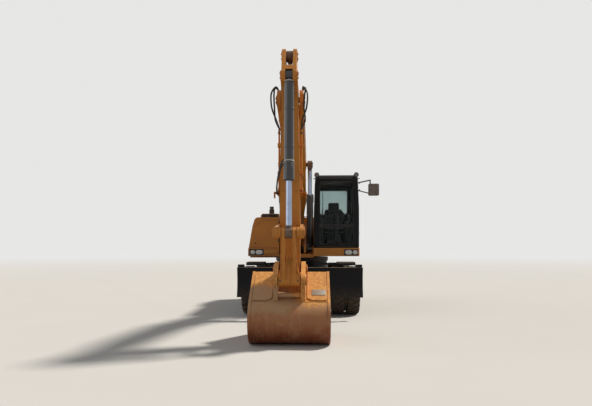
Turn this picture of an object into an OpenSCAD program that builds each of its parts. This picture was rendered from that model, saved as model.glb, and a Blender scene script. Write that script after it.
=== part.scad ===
// Wheeled excavator with twin tyres, dozer blade, cab and a working arm with a curled bucket.
// +X is forward, +Y is the machine's left, +Z is up. Places are first written from the swing
// centre at ground level, and place() moves them to the middle of the whole machine's footprint.

/* [Undercarriage] */
// Distance between the two axles
wheelbase = 2600; // [2500:10:2700]
// Front axle, ahead of the swing centre
front_axle_x = 1250; // [1200:10:1300]
// Radius of a tyre over its lugs
tyre_r = 520; // [500:5:540]
// Width of one tyre
tyre_w = 275; // [260:5:280]
// Height of a tyre's lugs
lug_h = 24; // [16:1:30]
// Number of lugs on each shoulder of a tyre
lug_count = 20; // [16:2:28]
// Gap between the twin tyres on one hub
twin_gap = 50; // [40:5:60]
// Width over the outer tyres
over_tyres_w = 2520; // [2480:10:2560]
// Seat radius of the rim
rim_r = 258; // [250:2:270]
// Distance of a kingpin from the inner face of its hub
kingpin_in = 60; // [56:1:70]
// Radius of a kingpin
kingpin_r = 35; // [30:1:40]
// Radius of a wheel spindle
spindle_r = 60; // [50:1:70]
// Half width of the chassis frame
chassis_half_w = 330; // [300:5:340]
// Radius of the swing bearing
bearing_r = 630; // [600:10:650]
// Height of the bearing's lower face
bearing_z = 1130; // [1120:5:1140]
// Height of the bearing
bearing_h = 94; // [80:2:100]

/* [Dozer blade] */
// Width of the blade
blade_w = 2500; // [2400:10:2550]
// Height of the blade
blade_h = 590; // [550:10:620]
// Bottom edge above the ground
blade_z = 460; // [440:5:480]
// Front face, ahead of the swing centre
blade_x = 2290; // [2280:5:2320]
// Thickness of the blade's plate
blade_t = 20; // [14:1:26]
// Distance of each push arm from the middle
arm_y = 230; // [200:5:240]
// Radius of the blade's pins
blade_pin_r = 25; // [20:1:28]

/* [Upper structure] */
// Right side of the upper structure, from the swing centre
upper_right = 1165; // [1150:5:1200]
// Left side of the upper structure, from the swing centre
upper_left = 1275; // [1260:5:1300]
// Radius that the tail sweeps
tail_r = 2200; // [2150:10:2250]
// Thickness of the deck
deck_t = 80; // [60:5:90]
// Distance of the arm's plane from the middle, to the right
boom_off = 90; // [60:5:110]
// Thickness of the boom foot plates
tower_t = 40; // [30:2:45]
// Height of the engine housing's top
hood_z = 2130; // [2050:10:2180]
// Thickness of sheet panels
panel_t = 30; // [20:2:36]
// Gap round a door or lid
door_gap = 8; // [7:1:10]

/* [Cab] */
// Width of the cab
cab_w = 985; // [960:5:990]
// Length of the cab
cab_len = 1720; // [1650:10:1750]
// Front of the cab, ahead of the swing centre
cab_x = 1250; // [1220:5:1270]
// Underside of the cab above the ground
cab_z = 1440; // [1435:1:1450]
// Top of the cab's roof
cab_top = 3060; // [3000:10:3120]
// Wall thickness of the cab
cab_t = 60; // [50:2:70]
// Thickness of the glass
glass_t = 8; // [6:1:10]
// Height of the bar that splits the windshield
split_z = 1920; // [1860:10:2000]
// Sill height of the rear and side windows
sill_z = 2250; // [2150:10:2300]

/* [Arm] */
// Width of the boom's box section
boom_w = 400; // [380:5:400]
// Width of the stick at its lower end
stick_w = 300; // [290:5:310]
// Width of the stick's tail
tail_w = 220; // [210:5:240]
// Width of the boom at its foot
foot_w = 300; // [280:5:310]
// Radius of the boom, stick and bucket pins
pin_r = 45; // [38:1:48]
// Side clearance between an arm member and its fork
side_gap = 6; // [5:0.5:8]
// Distance of a lift cylinder from the arm's plane
lift_off = 290; // [285:1:296]

/* [Cylinders] */
// Radius of the lift cylinder barrels
lift_r = 72; // [66:1:74]
// Radius of the stick cylinder barrel
stick_cyl_r = 80; // [70:1:84]
// Radius of the bucket cylinder barrel
bucket_cyl_r = 70; // [62:1:74]
// Radius of the arm cylinders' rods
rod_r = 43; // [36:1:46]
// Radius of the arm cylinders' pins
cyl_pin_r = 40; // [34:1:42]
// Width of the arm cylinders' eyes
eye_w = 96; // [86:2:100]

/* [Bucket] */
// Width of the bucket
bucket_w = 1200; // [1000:10:1250]
// Radius of the bucket's wrapper
wrap_r = 356; // [340:2:364]
// Thickness of the bucket's plates
shell_t = 22; // [16:1:28]
// Thickness of a bucket ear
ear_t = 65; // [50:1:70]
// Number of bucket teeth
tooth_count = 5; // [4:1:6]
// Height of the strips round the bucket's sides
strip_h = 8; // [4:1:12]

/* [Pipes and grilles] */
// Radius of the pipes on the boom and the stick
pipe_r = 12; // [9:1:13]
// Radius of the hoses between them
hose_r = 13; // [11:0.5:14]
// Number of slots in each grille
slot_count = 8; // [5:1:9]
// Height of a grille's slot
slot_h = 20; // [14:1:24]

/* [Hidden] */
$fn = 48;

// Clearances: a running fit, two faces that meet, and pieces that move past each other
fit = 0.05;
seat_gap = 0.3;

// Colours
yellow = "#D08A28";
black = "#202020";
rubber = "#3A3632";
steel = "#8A8A8A";
chrome = "#C8CCD2";
glass = "#30404480";

// Pins of the arm, as [x, z] from the swing centre
foot_pin = [250, 1750];
lift_foot = [980, 1420];
lift_pin = [2100, 3120];
stick_pin = [4400, 3720];
stick_cyl_foot = [1950, 3780];
tail_pin = [4660, 4290];
bucket_cyl_foot = [4840, 3950];
idler_pin = [4450, 1720];
link_pin = [4950, 1660];
bucket_pin = [4450, 1115];
ear_pin = [4800, 960];
boom_y = -boom_off;

// Pins of the blade's linkage, as [x, z]
arm_root = [1560, 560];
arm_tip = [2140, 640];
link_root = [1500, 790];
link_tip = link_root + arm_tip - arm_root;
blade_cyl_root = [1440, 900];
blade_cyl_tip = [1900, 690];
blade_cyl_y = 90;

// Lashing eyes [x, z] behind the rear tyres, and towing clevis at the rear of the chassis
lash_eye = [-1890, 760];
lash_y = 260;
lash_r = 30;
hitch_x = -1730;
hitch_z = [690, 830];
hitch_r = 22;

// Deck and the levels on it
deck_z = bearing_z + bearing_h + seat_gap;
deck_top = deck_z + deck_t;
rear_axle_x = front_axle_x - wheelbase;
hub_in = over_tyres_w / 2 - 2 * tyre_w - twin_gap;
kingpin_y = hub_in - kingpin_in;
cab_y0 = upper_left - cab_w;
cab_back = cab_x - cab_len;
deck_right = -upper_right + 20;
deck_cab = cab_y0 - 10;
front_x = 1130;

// The machine's reach, for its middle
reach_x = link_pin[0] + 85;
mirror_y = upper_left + 440;
mid_x = (reach_x - tail_r) / 2;
mid_y = (mirror_y - over_tyres_w / 2) / 2;

module place() { translate([-mid_x, -mid_y, 0]) children(); }

// A profile in the XZ plane, drawn from y0 to y1
module xz(y0, y1) {
    rotate([90, 0, 0]) translate([0, 0, -y1]) linear_extrude(y1 - y0) children();
}

// A profile in the YZ plane, drawn from x0 to x1
module yz(x0, x1) {
    rotate([90, 0, 90]) translate([0, 0, x0]) linear_extrude(x1 - x0) children();
}

// A profile in the XY plane, drawn from z0 to z1
module xy(z0, z1) {
    translate([0, 0, z0]) linear_extrude(z1 - z0) children();
}

module block(x0, x1, y0, y1, z0, z1) {
    translate([x0, y0, z0]) cube([x1 - x0, y1 - y0, z1 - z0]);
}

// A cylinder along Y at point p = [x, z]
module pin_y(p, r, y0, y1) {
    translate([p[0], y0, p[1]]) rotate([-90, 0, 0]) cylinder(r = r, h = y1 - y0);
}

// A cylinder along X, in a frame set by aim()
module bar_x(r, x0, x1) {
    translate([x0, 0, 0]) rotate([0, 90, 0]) cylinder(r = r, h = x1 - x0);
}

// Puts children at p with their +X towards q, both [x, z], in the plane y
module aim(p, q, y = 0) {
    turn = atan2(q[1] - p[1], q[0] - p[0]);
    translate([p[0], y, p[1]]) rotate([0, -turn, 0]) children();
}

module both_sides() {
    children();
    mirror([0, 1, 0]) children();
}

function unit(v) = v / norm(v);

// Points of a corner of radius r at p1, between p0 and p2, in n steps
function corner(p0, p1, p2, r, n) =
    let (a = unit(p0 - p1), b = unit(p2 - p1))
    let (half = acos(a * b) / 2)
    let (c = p1 + unit(a + b) * r / sin(half))
    let (s = p1 + a * r / tan(half) - c, e = p1 + b * r / tan(half) - c)
    let (from = atan2(s[1], s[0]), sweep = atan2(s[0] * e[1] - s[1] * e[0], s * e))
    [for (i = [0:n]) c + r * [cos(from + sweep * i / n), sin(from + sweep * i / n)]];

// A closed outline from rows of [x, y, corner radius]
function soft(rows, n = 5) =
    let (k = len(rows))
    [for (i = [0:k - 1])
        let (p = [for (j = [k - 1, 0, 1]) [rows[(i + j) % k][0], rows[(i + j) % k][1]]])
        each rows[i][2] > 0 ? corner(p[0], p[1], p[2], rows[i][2], n) : [p[1]]];

// Points of a curve from a to c that is drawn towards b
function bend(a, b, c, n) =
    [for (i = [0:n]) let (t = i / n) (1 - t) * (1 - t) * a + 2 * t * (1 - t) * b + t * t * c];

// A flat link outline: circles of radius ra and rb at a and b, with tangent sides
module link_shape(a, b, ra, rb) {
    d = norm(b - a);
    u = (b - a) / d;
    side = [-u[1], u[0]];
    lean = (ra - rb) / d;
    up = sqrt(1 - lean * lean);
    function edge(c, r, s) = c + r * (u * lean + side * up * s);
    translate(a) circle(r = ra);
    translate(b) circle(r = rb);
    polygon([edge(a, ra, 1), edge(b, rb, 1), edge(b, rb, -1), edge(a, ra, -1)]);
}

// A pipe of radius r in the XZ plane along points [x, z], its bends of radius br
module pipe_xz(pts, r, br) {
    n = len(pts);
    function dir(i) = unit(pts[i + 1] - pts[i]);
    function turn(i) = i <= 0 || i >= n - 1 ? 0 :
        let (u = dir(i - 1), v = dir(i)) atan2(u[0] * v[1] - u[1] * v[0], u * v);
    function trim(i) = br * tan(abs(turn(i)) / 2);
    for (i = [0:n - 2])
        aim(pts[i], pts[i + 1]) bar_x(r, trim(i), norm(pts[i + 1] - pts[i]) - trim(i + 1));
    for (i = [1:n - 2]) {
        s = turn(i) < 0 ? -1 : 1;
        start = pts[i] - dir(i - 1) * trim(i);
        c = start + s * br * [-dir(i - 1)[1], dir(i - 1)[0]];
        from = atan2(start[1] - c[1], start[0] - c[0]) + min(0, turn(i));
        translate([c[0], 0, c[1]]) rotate([90, 0, 0]) rotate([0, 0, from])
            rotate_extrude(angle = abs(turn(i))) translate([br, 0]) circle(r = r);
    }
}

// Points of a smooth curve through pts, n steps in each span
function through(pts, n) =
    let (k = len(pts))
    [for (i = [0:k - 2]) for (j = [0:n - 1])
        let (t = j / n, a = pts[max(i - 1, 0)], b = pts[i], c = pts[i + 1], d = pts[min(i + 2, k - 1)])
        b + (c - a) * t / 2 + (2 * a - 5 * b + 4 * c - d) * t * t / 2
            + (3 * b - a - 3 * c + d) * t * t * t / 2,
     pts[k - 1]];

// A tube of radius r along points in space, with sides round it
module tube(pts, r, sides = 10) {
    n = len(pts);
    rings = [for (i = [0:n - 1])
        let (f = unit(pts[min(i + 1, n - 1)] - pts[max(i - 1, 0)]))
        let (a = unit(cross(f, [0, 1, 0])), b = cross(f, a))
        for (k = [0:sides - 1])
            pts[i] + r * (a * cos(360 * k / sides) + b * sin(360 * k / sides))];
    polyhedron(rings, concat(
        [[for (k = [0:sides - 1]) k]],
        [for (i = [0:n - 2]) for (k = [0:sides - 1])
            [i * sides + k, (i + 1) * sides + k, (i + 1) * sides + (k + 1) % sides]],
        [for (i = [0:n - 2]) for (k = [0:sides - 1])
            [i * sides + k, (i + 1) * sides + (k + 1) % sides, i * sides + (k + 1) % sides]],
        [[for (k = [sides - 1:-1:0]) (n - 1) * sides + k]]));
}

// Wheels

// Outline of a ring of lugs, each half a pitch long, with a corner straight down
module lug_outline(from) {
    pitch = 360 / lug_count;
    root = tyre_r - lug_h - 6;
    difference() {
        polygon([for (i = [0:lug_count - 1]) for (p = [[0, root], [0, tyre_r], [0.5, tyre_r], [0.5, root]])
            p[1] * [cos(from + (i + p[0]) * pitch), sin(from + (i + p[0]) * pitch)]]);
        circle(r = tyre_r - lug_h - 30, $fn = 96);
    }
}

// One tyre as a ring round Y, its middle at y = 0, rows of [radius, y]
module tyre_ring() {
    half = tyre_w / 2;
    rows = [[rim_r, -0.68 * half], [rim_r + 30, -0.80 * half], [rim_r + 90, -half],
            [tyre_r - 90, -half], [tyre_r - lug_h, -0.86 * half],
            [tyre_r - lug_h, 0.86 * half], [tyre_r - 90, half],
            [rim_r + 90, half], [rim_r + 30, 0.80 * half], [rim_r, 0.68 * half]];
    rotate([-90, 0, 0]) {
        rotate_extrude($fn = 96) polygon(rows);
        xy(4, 0.88 * half) lug_outline(90);
        xy(-0.88 * half, -4) lug_outline(90 + 180 / lug_count);
    }
}

// Twin tyres of one hub; side is 1 on the left and -1 on the right
module tyre_pair(x, side) {
    step = (tyre_w + twin_gap) / 2;
    color(rubber) place() translate([x, side * (hub_in + tyre_w + twin_gap / 2), tyre_r])
        for (k = [-1, 1]) translate([0, k * step, 0]) tyre_ring();
}

// Both rims, the disc between them and the hub, written for the left side from the inner face
module rim_pair() {
    whole = 2 * tyre_w + twin_gap;
    seat = rim_r - seat_gap;
    disc = 140;
    rows = [[seat - 34, 20], [seat, 20], [seat, whole - 20], [seat - 34, whole - 20],
            [seat - 34, disc + 60], [seat - 70, disc + 30], [150, disc + 30], [150, whole - 70],
            [110, whole - 40], [0, whole - 40], [0, disc + 4], [spindle_r + fit, disc + 4],
            [spindle_r + fit, disc - 30], [140, disc - 30], [140, disc], [seat - 34, disc]];
    rotate([-90, 0, 0]) rotate_extrude($fn = 96) polygon(rows);
}

module rims(x, side) {
    color(black) place() translate([x, side * hub_in, tyre_r])
        mirror([0, side < 0 ? 1 : 0, 0]) rim_pair();
}

module rims_front_left() { rims(front_axle_x, 1); }
module rims_front_right() { rims(front_axle_x, -1); }
module rims_rear_left() { rims(rear_axle_x, 1); }
module rims_rear_right() { rims(rear_axle_x, -1); }
module tyres_front_left() { tyre_pair(front_axle_x, 1); }
module tyres_front_right() { tyre_pair(front_axle_x, -1); }
module tyres_rear_left() { tyre_pair(rear_axle_x, 1); }
module tyres_rear_right() { tyre_pair(rear_axle_x, -1); }

// Half of an axle housing turned about Y, rows of [radius, y] out to the end y
module axle_half(end) {
    rows = [[0, -1], [182, -1], [182, 60], [150, 130], [95, 190], [80, end - 60], [95, end - 40],
            [95, end], [0, end]];
    rotate([-90, 0, 0]) rotate_extrude() polygon(rows);
}

// Axle mount block between the housing and the frame
module axle_seat(z_top) {
    block(-120, 120, -200, 200, 150, z_top - tyre_r);
}

module front_axle() {
    yoke_in = kingpin_y - 90;
    color(black) place() translate([front_axle_x, 0, tyre_r]) {
        difference() {
            union() {
                both_sides() axle_half(yoke_in);
                both_sides() for (k = [-1, 1])
                    xy(k * 125 - 20, k * 125 + 20) {
                        translate([0, kingpin_y]) circle(r = 58);
                        translate([-58, yoke_in - 40]) square([116, kingpin_y - yoke_in + 40]);
                    }
                both_sides() block(-58, 58, yoke_in - 40, yoke_in, -145, 145);
            }
            both_sides() translate([0, kingpin_y, -200]) cylinder(r = kingpin_r + fit, h = 400);
        }
        axle_seat(705);
        translate([-150, 0, 0]) rotate([-90, 0, 0]) translate([0, 0, -200]) cylinder(r = 45, h = 400);
    }
}

module rear_axle() {
    color(black) place() translate([rear_axle_x, 0, tyre_r]) {
        both_sides() axle_half(hub_in + 60);
        both_sides() translate([0, hub_in + 59, 0]) rotate([-90, 0, 0])
            cylinder(r = spindle_r, h = 80);
        axle_seat(705);
    }
}

// Knuckle with its kingpin and spindle, written for the left side
module knuckle(side) {
    color(black) place() translate([front_axle_x, side * kingpin_y, tyre_r])
        mirror([0, side < 0 ? 1 : 0, 0]) {
            translate([0, 0, -104]) cylinder(r = 62, h = 208);
            translate([0, 0, -150]) cylinder(r = kingpin_r, h = 300);
            rotate([-90, 0, 0]) cylinder(r = spindle_r, h = hub_in - kingpin_y + 139);
        }
}

module knuckle_left() { knuckle(1); }
module knuckle_right() { knuckle(-1); }

// Chassis

// Side outline of the chassis, rows of [x, z, corner radius]
chassis_side = [
    [-1640, 620, 40], [-1640, 880, 80], [-760, 1010, 60], [760, 1010, 60],
    [1500, 960, 60], [1640, 700, 40], [1640, 500, 40], [1460, 500, 30], [1440, 705, 30],
    [1060, 705, 60], [900, 430, 60], [-960, 430, 60], [-1160, 705, 60], [-1560, 705, 20]];

module chassis_frame() {
    w = chassis_half_w;
    slot = blade_cyl_y + 50;
    color(black) place() difference() {
        union() {
            xz(-w, w) polygon(soft(chassis_side, 3));
            // Lashing eyes and towing clevis at the rear
            for (y = [-lash_y, lash_y]) xz(y - 20, y + 20)
                link_shape(lash_eye, [-1590, lash_eye[1] + 10], 55, 100);
            for (z = hitch_z) xy(z - 15, z + 15) {
                translate([hitch_x, 0]) circle(r = 60);
                translate([hitch_x, -60]) square([-1600 - hitch_x, 120]);
            }
            translate([0, 0, 900]) cylinder(r = bearing_r - 20, h = bearing_z - 900);
        }
        // Room in front for the push arms, links and cylinders
        for (s = [-1, 1]) block(1380, 1700, s * arm_y - 52, s * arm_y + 52, 480, 1100);
        block(1380, 1700, -slot, slot, 480, 1100);
        for (p = [arm_root, link_root]) pin_y(p, blade_pin_r + fit, -w - 1, w + 1);
        pin_y(lash_eye, lash_r, -w - 1, w + 1);
        translate([hitch_x, 0, 600]) cylinder(r = hitch_r, h = 300);
    }
    color(steel) place() pin_y(blade_cyl_root, blade_pin_r, -slot - 1, slot + 1);
}

module swing_ring() {
    color(steel) place() translate([0, 0, bearing_z]) difference() {
        cylinder(r = bearing_r, h = bearing_h);
        translate([0, 0, -1]) cylinder(r = bearing_r - 130, h = bearing_h + 2);
    }
}

// A tool box with two steps on each side, between the wheels
module tool_boxes() {
    out = over_tyres_w / 2 - 60;
    color(black) place() both_sides() {
        block(-700, 380, chassis_half_w, out - 160, 470, 860);
        block(-320, 300, out - 160, out, 470, 500);
        block(-320, 300, out - 160, out, 760, 790);
        for (x = [-320, 280]) block(x, x + 20, out - 160, out, 470, 860);
    }
}

// A flat fender over each pair of front tyres, on a bracket that stands on the chassis
module front_fenders() {
    z = 2 * tyre_r + 22;
    color(black) place() both_sides() difference() {
        union() {
            xz(790, 1175) polygon(soft([[front_axle_x - 250, z, 10], [front_axle_x + 230, z, 10],
                [front_axle_x + 230, z + 50, 20], [front_axle_x + 200, z + 70, 20],
                [front_axle_x - 250, z + 70, 10]], 4));
            block(front_axle_x - 40, front_axle_x + 40, 270, 800, z + 10, z + 50);
            block(front_axle_x - 40, front_axle_x + 40, 270, 310, 900, z + 50);
        }
        xz(-400, 400) polygon([for (p = soft(chassis_side, 3)) p + [0, seat_gap]]);
    }
}

// Dozer blade and its parallel linkage

module blade_arms() {
    tube = arm_root + (arm_tip - arm_root) * 0.3;
    color(black) place() difference() {
        union() {
            for (s = [-1, 1]) xz(s * arm_y - 40, s * arm_y + 40)
                link_shape(arm_root, arm_tip, 60, 50);
            pin_y(tube, 42, -arm_y, arm_y);
            // Lugs beside the eyes of the lift cylinders
            for (s = [-1, 1]) for (w = [-38, 38]) xz(s * blade_cyl_y + w - 7, s * blade_cyl_y + w + 7)
                link_shape(tube, blade_cyl_tip, 40, 38);
            for (s = [-1, 1]) pin_y(arm_root, blade_pin_r, s * arm_y - 90, s * arm_y + 90);
        }
        pin_y(arm_tip, blade_pin_r + fit, -400, 400);
    }
}

module blade_links() {
    color(black) place() for (s = [-1, 1]) {
        xz(s * arm_y - 28, s * arm_y + 28) link_shape(link_root, link_tip, 42, 42);
        pin_y(link_root, blade_pin_r, s * arm_y - 90, s * arm_y + 90);
        // Boss that reaches the blade's lugs, its pin split at their faces
        pin_y(link_tip, 38, s * arm_y - 47, s * arm_y + 47);
    }
}

module dozer_blade() {
    top = blade_z + blade_h;
    half = blade_w / 2;
    // Curved mouldboard in side view, from the cutting edge to the top lip
    face = bend([blade_x, blade_z], [blade_x - 90, blade_z + blade_h / 2], [blade_x - 10, top], 8);
    back = [for (i = [len(face) - 1:-1:0]) face[i] - [blade_t, 0]];
    deep = [for (i = [len(face) - 1:-1:0]) face[i] - [90, 0]];
    edge = [for (i = [0:2]) face[i]];
    color(black) place() {
        xz(-half, half) polygon(concat(face, back));
        // End plates, cutting edge, top lip and a lug on each top corner
        for (s = [-1, 1]) translate([0, s * (half - 7), 0]) xz(-7, 7) polygon(concat(face, deep));
        xz(-half, half) polygon(concat(edge, [for (i = [2:-1:0]) edge[i] + [14, 0]]));
        block(blade_x - 70, blade_x - 12, -half, half, top - 12, top);
        for (s = [-1, 1]) translate([0, s * (half - 80), 0])
            block(blade_x - 60, blade_x - 20, -65, 65, top - 6, top + 60);
        // Ribs behind the mouldboard
        for (y = [-900, -560, 0, 560, 900]) xz(y - 8, y + 8)
            polygon(concat(face, [for (i = [len(face) - 1:-1:0]) face[i] - [70, 0]]));
        for (s = [-1, 1]) for (w = [-1, 1])
            xz(s * arm_y + w * 60 - 12, s * arm_y + w * 60 + 12)
                polygon([arm_tip - [55, 60], arm_tip + [-55, 60], link_tip + [-52, 50],
                         link_tip + [20, 55], [blade_x - 46, link_tip[1] + 55],
                         [blade_x - 58, 755], [blade_x - 40, arm_tip[1] - 60]]);
        for (s = [-1, 1]) pin_y(arm_tip, blade_pin_r, s * arm_y - 62, s * arm_y + 62);
    }
}

module blade_barrels() {
    color(black) place() for (s = [-1, 1]) aim(blade_cyl_root, blade_cyl_tip, s * blade_cyl_y)
        difference() {
            union() {
                rotate([-90, 0, 0]) translate([0, 0, -30]) cylinder(r = 48, h = 60);
                bar_x(42, 30, 380);
            }
            rotate([-90, 0, 0]) translate([0, 0, -40]) cylinder(r = blade_pin_r + fit, h = 80);
            bar_x(25 + fit, 60, 400);
        }
}

module blade_rods() {
    reach = norm(blade_cyl_tip - blade_cyl_root);
    color(chrome) place() for (s = [-1, 1]) aim(blade_cyl_root, blade_cyl_tip, s * blade_cyl_y) {
        bar_x(25, 150, reach - 20);
        translate([reach, 0, 0]) rotate([-90, 0, 0]) translate([0, 0, -30]) cylinder(r = 42, h = 60);
    }
}

// Upper structure

module upper_frame() {
    in_w = foot_w / 2 + side_gap;
    out_w = in_w + tower_t;
    // Boom foot plate in side view, rows of [x, z, corner radius]
    tower = [[-480, deck_top - 1, 0], [-480, 1500, 80], [-100, 1780, 120], [130, 1910, 110],
             [390, 1900, 120], [640, 1600, 120], [1080, 1500, 60], [1110, 1330, 30],
             [1040, deck_top - 1, 0]];
    // Deck in plan view, rows of [x, y, corner radius]
    deck = [[-1480, deck_right, 60], [front_x, deck_right, 60], [front_x, deck_cab, 0],
            [cab_back - 20, deck_cab, 0], [cab_back - 20, upper_left - 15, 60],
            [-1480, upper_left - 15, 60]];
    color(yellow) place() difference() {
        union() {
            xy(deck_z, deck_top) polygon(soft(deck, 4));
            for (s = [-1, 1]) translate([0, boom_y + s * (in_w + tower_t / 2), 0])
                xz(-tower_t / 2, tower_t / 2) polygon(soft(tower, 4));
            // Outer bracket of each lift cylinder's foot
            for (s = [-1, 1]) translate([0, boom_y + s * (lift_off + eye_w / 2 + 16), 0])
                xz(-10, 10) link_shape(lift_foot, [920, deck_top + 20], 70, 110);
            translate([0, boom_y, 0]) {
                pin_y(foot_pin, pin_r, -out_w - 20, out_w + 20);
                for (s = [-1, 1]) pin_y(lift_foot, cyl_pin_r,
                    s > 0 ? in_w : -lift_off - 80, s > 0 ? lift_off + 80 : -in_w);
            }
        }
        translate([0, 0, deck_z - 1]) cylinder(r = 200, h = deck_t + 2);
    }
}

module counterweight() {
    // Back view, rows of [y, z, corner radius]
    back = [[-upper_right, deck_z + 40, 60], [upper_left, deck_z + 40, 60],
            [upper_left, 1980, 160], [-upper_right, 1980, 160]];
    color(yellow) place() intersection() {
        yz(-tail_r - 10, -1480 - seat_gap) polygon(soft(back, 6));
        cylinder(r = tail_r, h = 3000, $fn = 128);
    }
}

housing_x0 = -1480;
housing_x1 = cab_back - 25;
hood_y0 = -620;

// Walls round the engine, open on top under the hood and at the service door
module engine_housing() {
    y0 = -upper_right + 5;
    y1 = upper_left - 5;
    z0 = deck_top;
    color(yellow) place() difference() {
        yz(housing_x0, housing_x1) polygon(soft([[y0, z0, 0], [y1, z0, 0], [y1, hood_z, 90],
                                                 [y0, hood_z, 90]], 5));
        block(housing_x0 + panel_t, housing_x1 - panel_t, y0 + panel_t, y1 - panel_t,
              z0 + panel_t, hood_z - panel_t);
        block(housing_x0 + panel_t, housing_x1 - panel_t, hood_y0, y1 - 130, z0 + 500, hood_z + 1);
        block(housing_x0 + 140, housing_x1 - 100, y1 - panel_t - 1, y1 + 1, z0 + 80, hood_z - 180);
        for (x = grille_x) xz(y0 - 1, y0 + panel_t + 1)
            grille_slots(x, x + grille_w, z0 + 160);
    }
    color(yellow) place() {
        // Lugs of the service door's hinges on its front side, then those of the hood
        for (z = door_hinge_z) translate([door_hinge[0], door_hinge[1], z])
            mirror([1, 0, 0]) hinge_lugs(-26);
        for (y = hood_hinge_y) translate([hood_hinge[0], y, hood_hinge[1]])
            rotate([-90, 0, 0]) hood_lugs();
    }
}

// Hinge axes: the service door's in plan view, the hood's in [x, z]
door_hinge = [housing_x1 - 100 + 10, upper_left - 5 + 24];
door_hinge_z = [1450, 1720];
hood_hinge = [housing_x0 + 14, hood_z + 26];
hood_hinge_y = [-400, 700];

// Columns of the grilles, with the width of one
grille_x = [housing_x0 + 220, housing_x0 + 490];
grille_w = 240;

// Two lug plates with their pin along Z, drawn with -Y up
module hood_lugs() {
    for (z = [-20 - seat_gap, hinge_h + seat_gap]) xy(z, z + 20) {
        circle(r = hinge_r);
        translate([-12, 0]) square([26, 28]);
    }
    translate([0, 0, -20]) cylinder(r = hinge_pin_r, h = hinge_h + 40);
}

module engine_hood() {
    y1 = upper_left - 135 - door_gap;
    // Crowned top in back view, rows of [y, z, corner radius]
    top = [[hood_y0 + door_gap, hood_z - panel_t, 0], [y1, hood_z - panel_t, 0],
           [y1, hood_z + 20, 10], [y1 - 160, hood_z + 90, 200],
           [hood_y0 + 160, hood_z + 90, 200], [hood_y0 + door_gap, hood_z + 20, 10]];
    color(yellow) place() difference() {
        yz(housing_x0 + panel_t + door_gap, housing_x1 - panel_t - door_gap)
            polygon(soft(top, 5));
        block(housing_x0 + 2 * panel_t + door_gap, housing_x1 - 2 * panel_t - door_gap,
              hood_y0 + 40, y1 - 40, hood_z - panel_t - 1, hood_z - 5);
        // Slots over the cooler, down to the hood's inside
        for (i = [0:slot_count - 1]) for (y = [y1 - 620, y1 - 340])
            translate([housing_x0 + 250 + i * 60, 0, 0])
                block(0, slot_h, y, y + 220, hood_z - 30, hood_z + 120);
    }
    color(yellow) place() for (y = hood_hinge_y)
        translate([hood_hinge[0], y, hood_hinge[1]]) rotate([-90, 0, 0]) difference() {
            xy(0, hinge_h) {
                circle(r = hinge_r);
                translate([0, 2]) square([60, 14]);
            }
            translate([0, 0, -1]) cylinder(r = hinge_pin_r + fit, h = hinge_h + 2);
        }
}

// Slots of a grille between x0 and x1, in the XZ plane from z upwards
module grille_slots(x0, x1, z) {
    for (i = [0:slot_count - 1]) translate([x0, z + i * (slot_h + 26)])
        square([x1 - x0, slot_h]);
}

module engine_block() {
    color(steel) place() block(-1330, -640, -500, 700, deck_top + panel_t, 1930);
}

module exhaust_stack() {
    color(black) place() translate([-1150, -840, hood_z]) difference() {
        union() {
            cylinder(r = 90, h = 40);
            cylinder(r = 55, h = 420);
        }
        translate([0, 0, 60]) cylinder(r = 48, h = 400);
    }
}

module service_door() {
    y1 = upper_left - 5;
    color(yellow) place() {
        difference() {
            block(housing_x0 + 140 + door_gap, housing_x1 - 100 - door_gap,
                y1 - panel_t, y1, deck_top + 80 + door_gap, hood_z - 180 - door_gap);
            for (x = grille_x) xz(y1 - panel_t - 1, y1 + 1)
                grille_slots(x, x + grille_w, deck_top + 160);
        }
        for (z = door_hinge_z) translate([door_hinge[0], door_hinge[1], z])
            mirror([1, 0, 0]) hinge_knuckle(70, -40);
    }
}

module right_body() {
    y_in = boom_y - 395;
    // Front view, rows of [y, z, corner radius]
    front = [[y_in, deck_top, 0], [y_in, 2120, 30], [-1020, 2120, 90], [-1080, 1930, 60],
             [-upper_right, 1440, 20], [-upper_right, 1257, 0], [deck_right - seat_gap, 1257, 0],
             [deck_right - seat_gap, deck_top, 0]];
    color(yellow) place() difference() {
        union() {
            yz(housing_x1 + 5, 1150) polygon(soft(front, 5));
            block(1130, 1240, -upper_right, -480, 1257, 1430);
            yz(560, 1120) polygon(soft([[-900, 2110, 0], [y_in, 2110, 0], [y_in, 2200, 20],
                                        [-900, 2200, 60]], 4));
        }
        block(1121, 1300, -880, y_in - 30, 2120, 2180);
        block(1225, 1300, -upper_right + 25, -820, 1275, 1410);
    }
}

module cab_platform() {
    deck = [[cab_back, deck_cab + seat_gap, 20], [cab_x + 30, deck_cab + seat_gap, 40],
            [cab_x + 30, upper_left + 12, 60], [cab_back, upper_left + 12, 20]];
    color(yellow) place() difference() {
        xy(1257, cab_z - seat_gap) polygon(soft(deck, 5));
        block(cab_x + 15, cab_x + 50, upper_left - 330, upper_left - 20, 1275, 1410);
        block(cab_back - 1, cab_x - 120, cab_y0 - 20, upper_left - 60, 1200, 1330);
    }
}

// Lenses of a front lamp, rows of [first centre, last centre, radius] across the bezel
lens_rows = [[72, 122, 55], [234, 246, 50]];

// Front lamps in their recesses, and two round lamps on the roof's front edge
// Bezel with two rounded lenses, from y = 0 to 306 outwards, its back at x = 0
module lamp_pair() {
    yz(0, 13) difference() {
        translate([0, -66]) square([306, 131]);
        for (lens = lens_rows) link_shape([lens[0], 0], [lens[1], 0], lens[2] + 5, lens[2] + 5);
    }
    yz(0, 4) translate([0, -66]) square([306, 131]);
    for (lens = lens_rows) yz(0, 16) link_shape([lens[0], 0], [lens[1], 0], lens[2], lens[2]);
}

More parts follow.
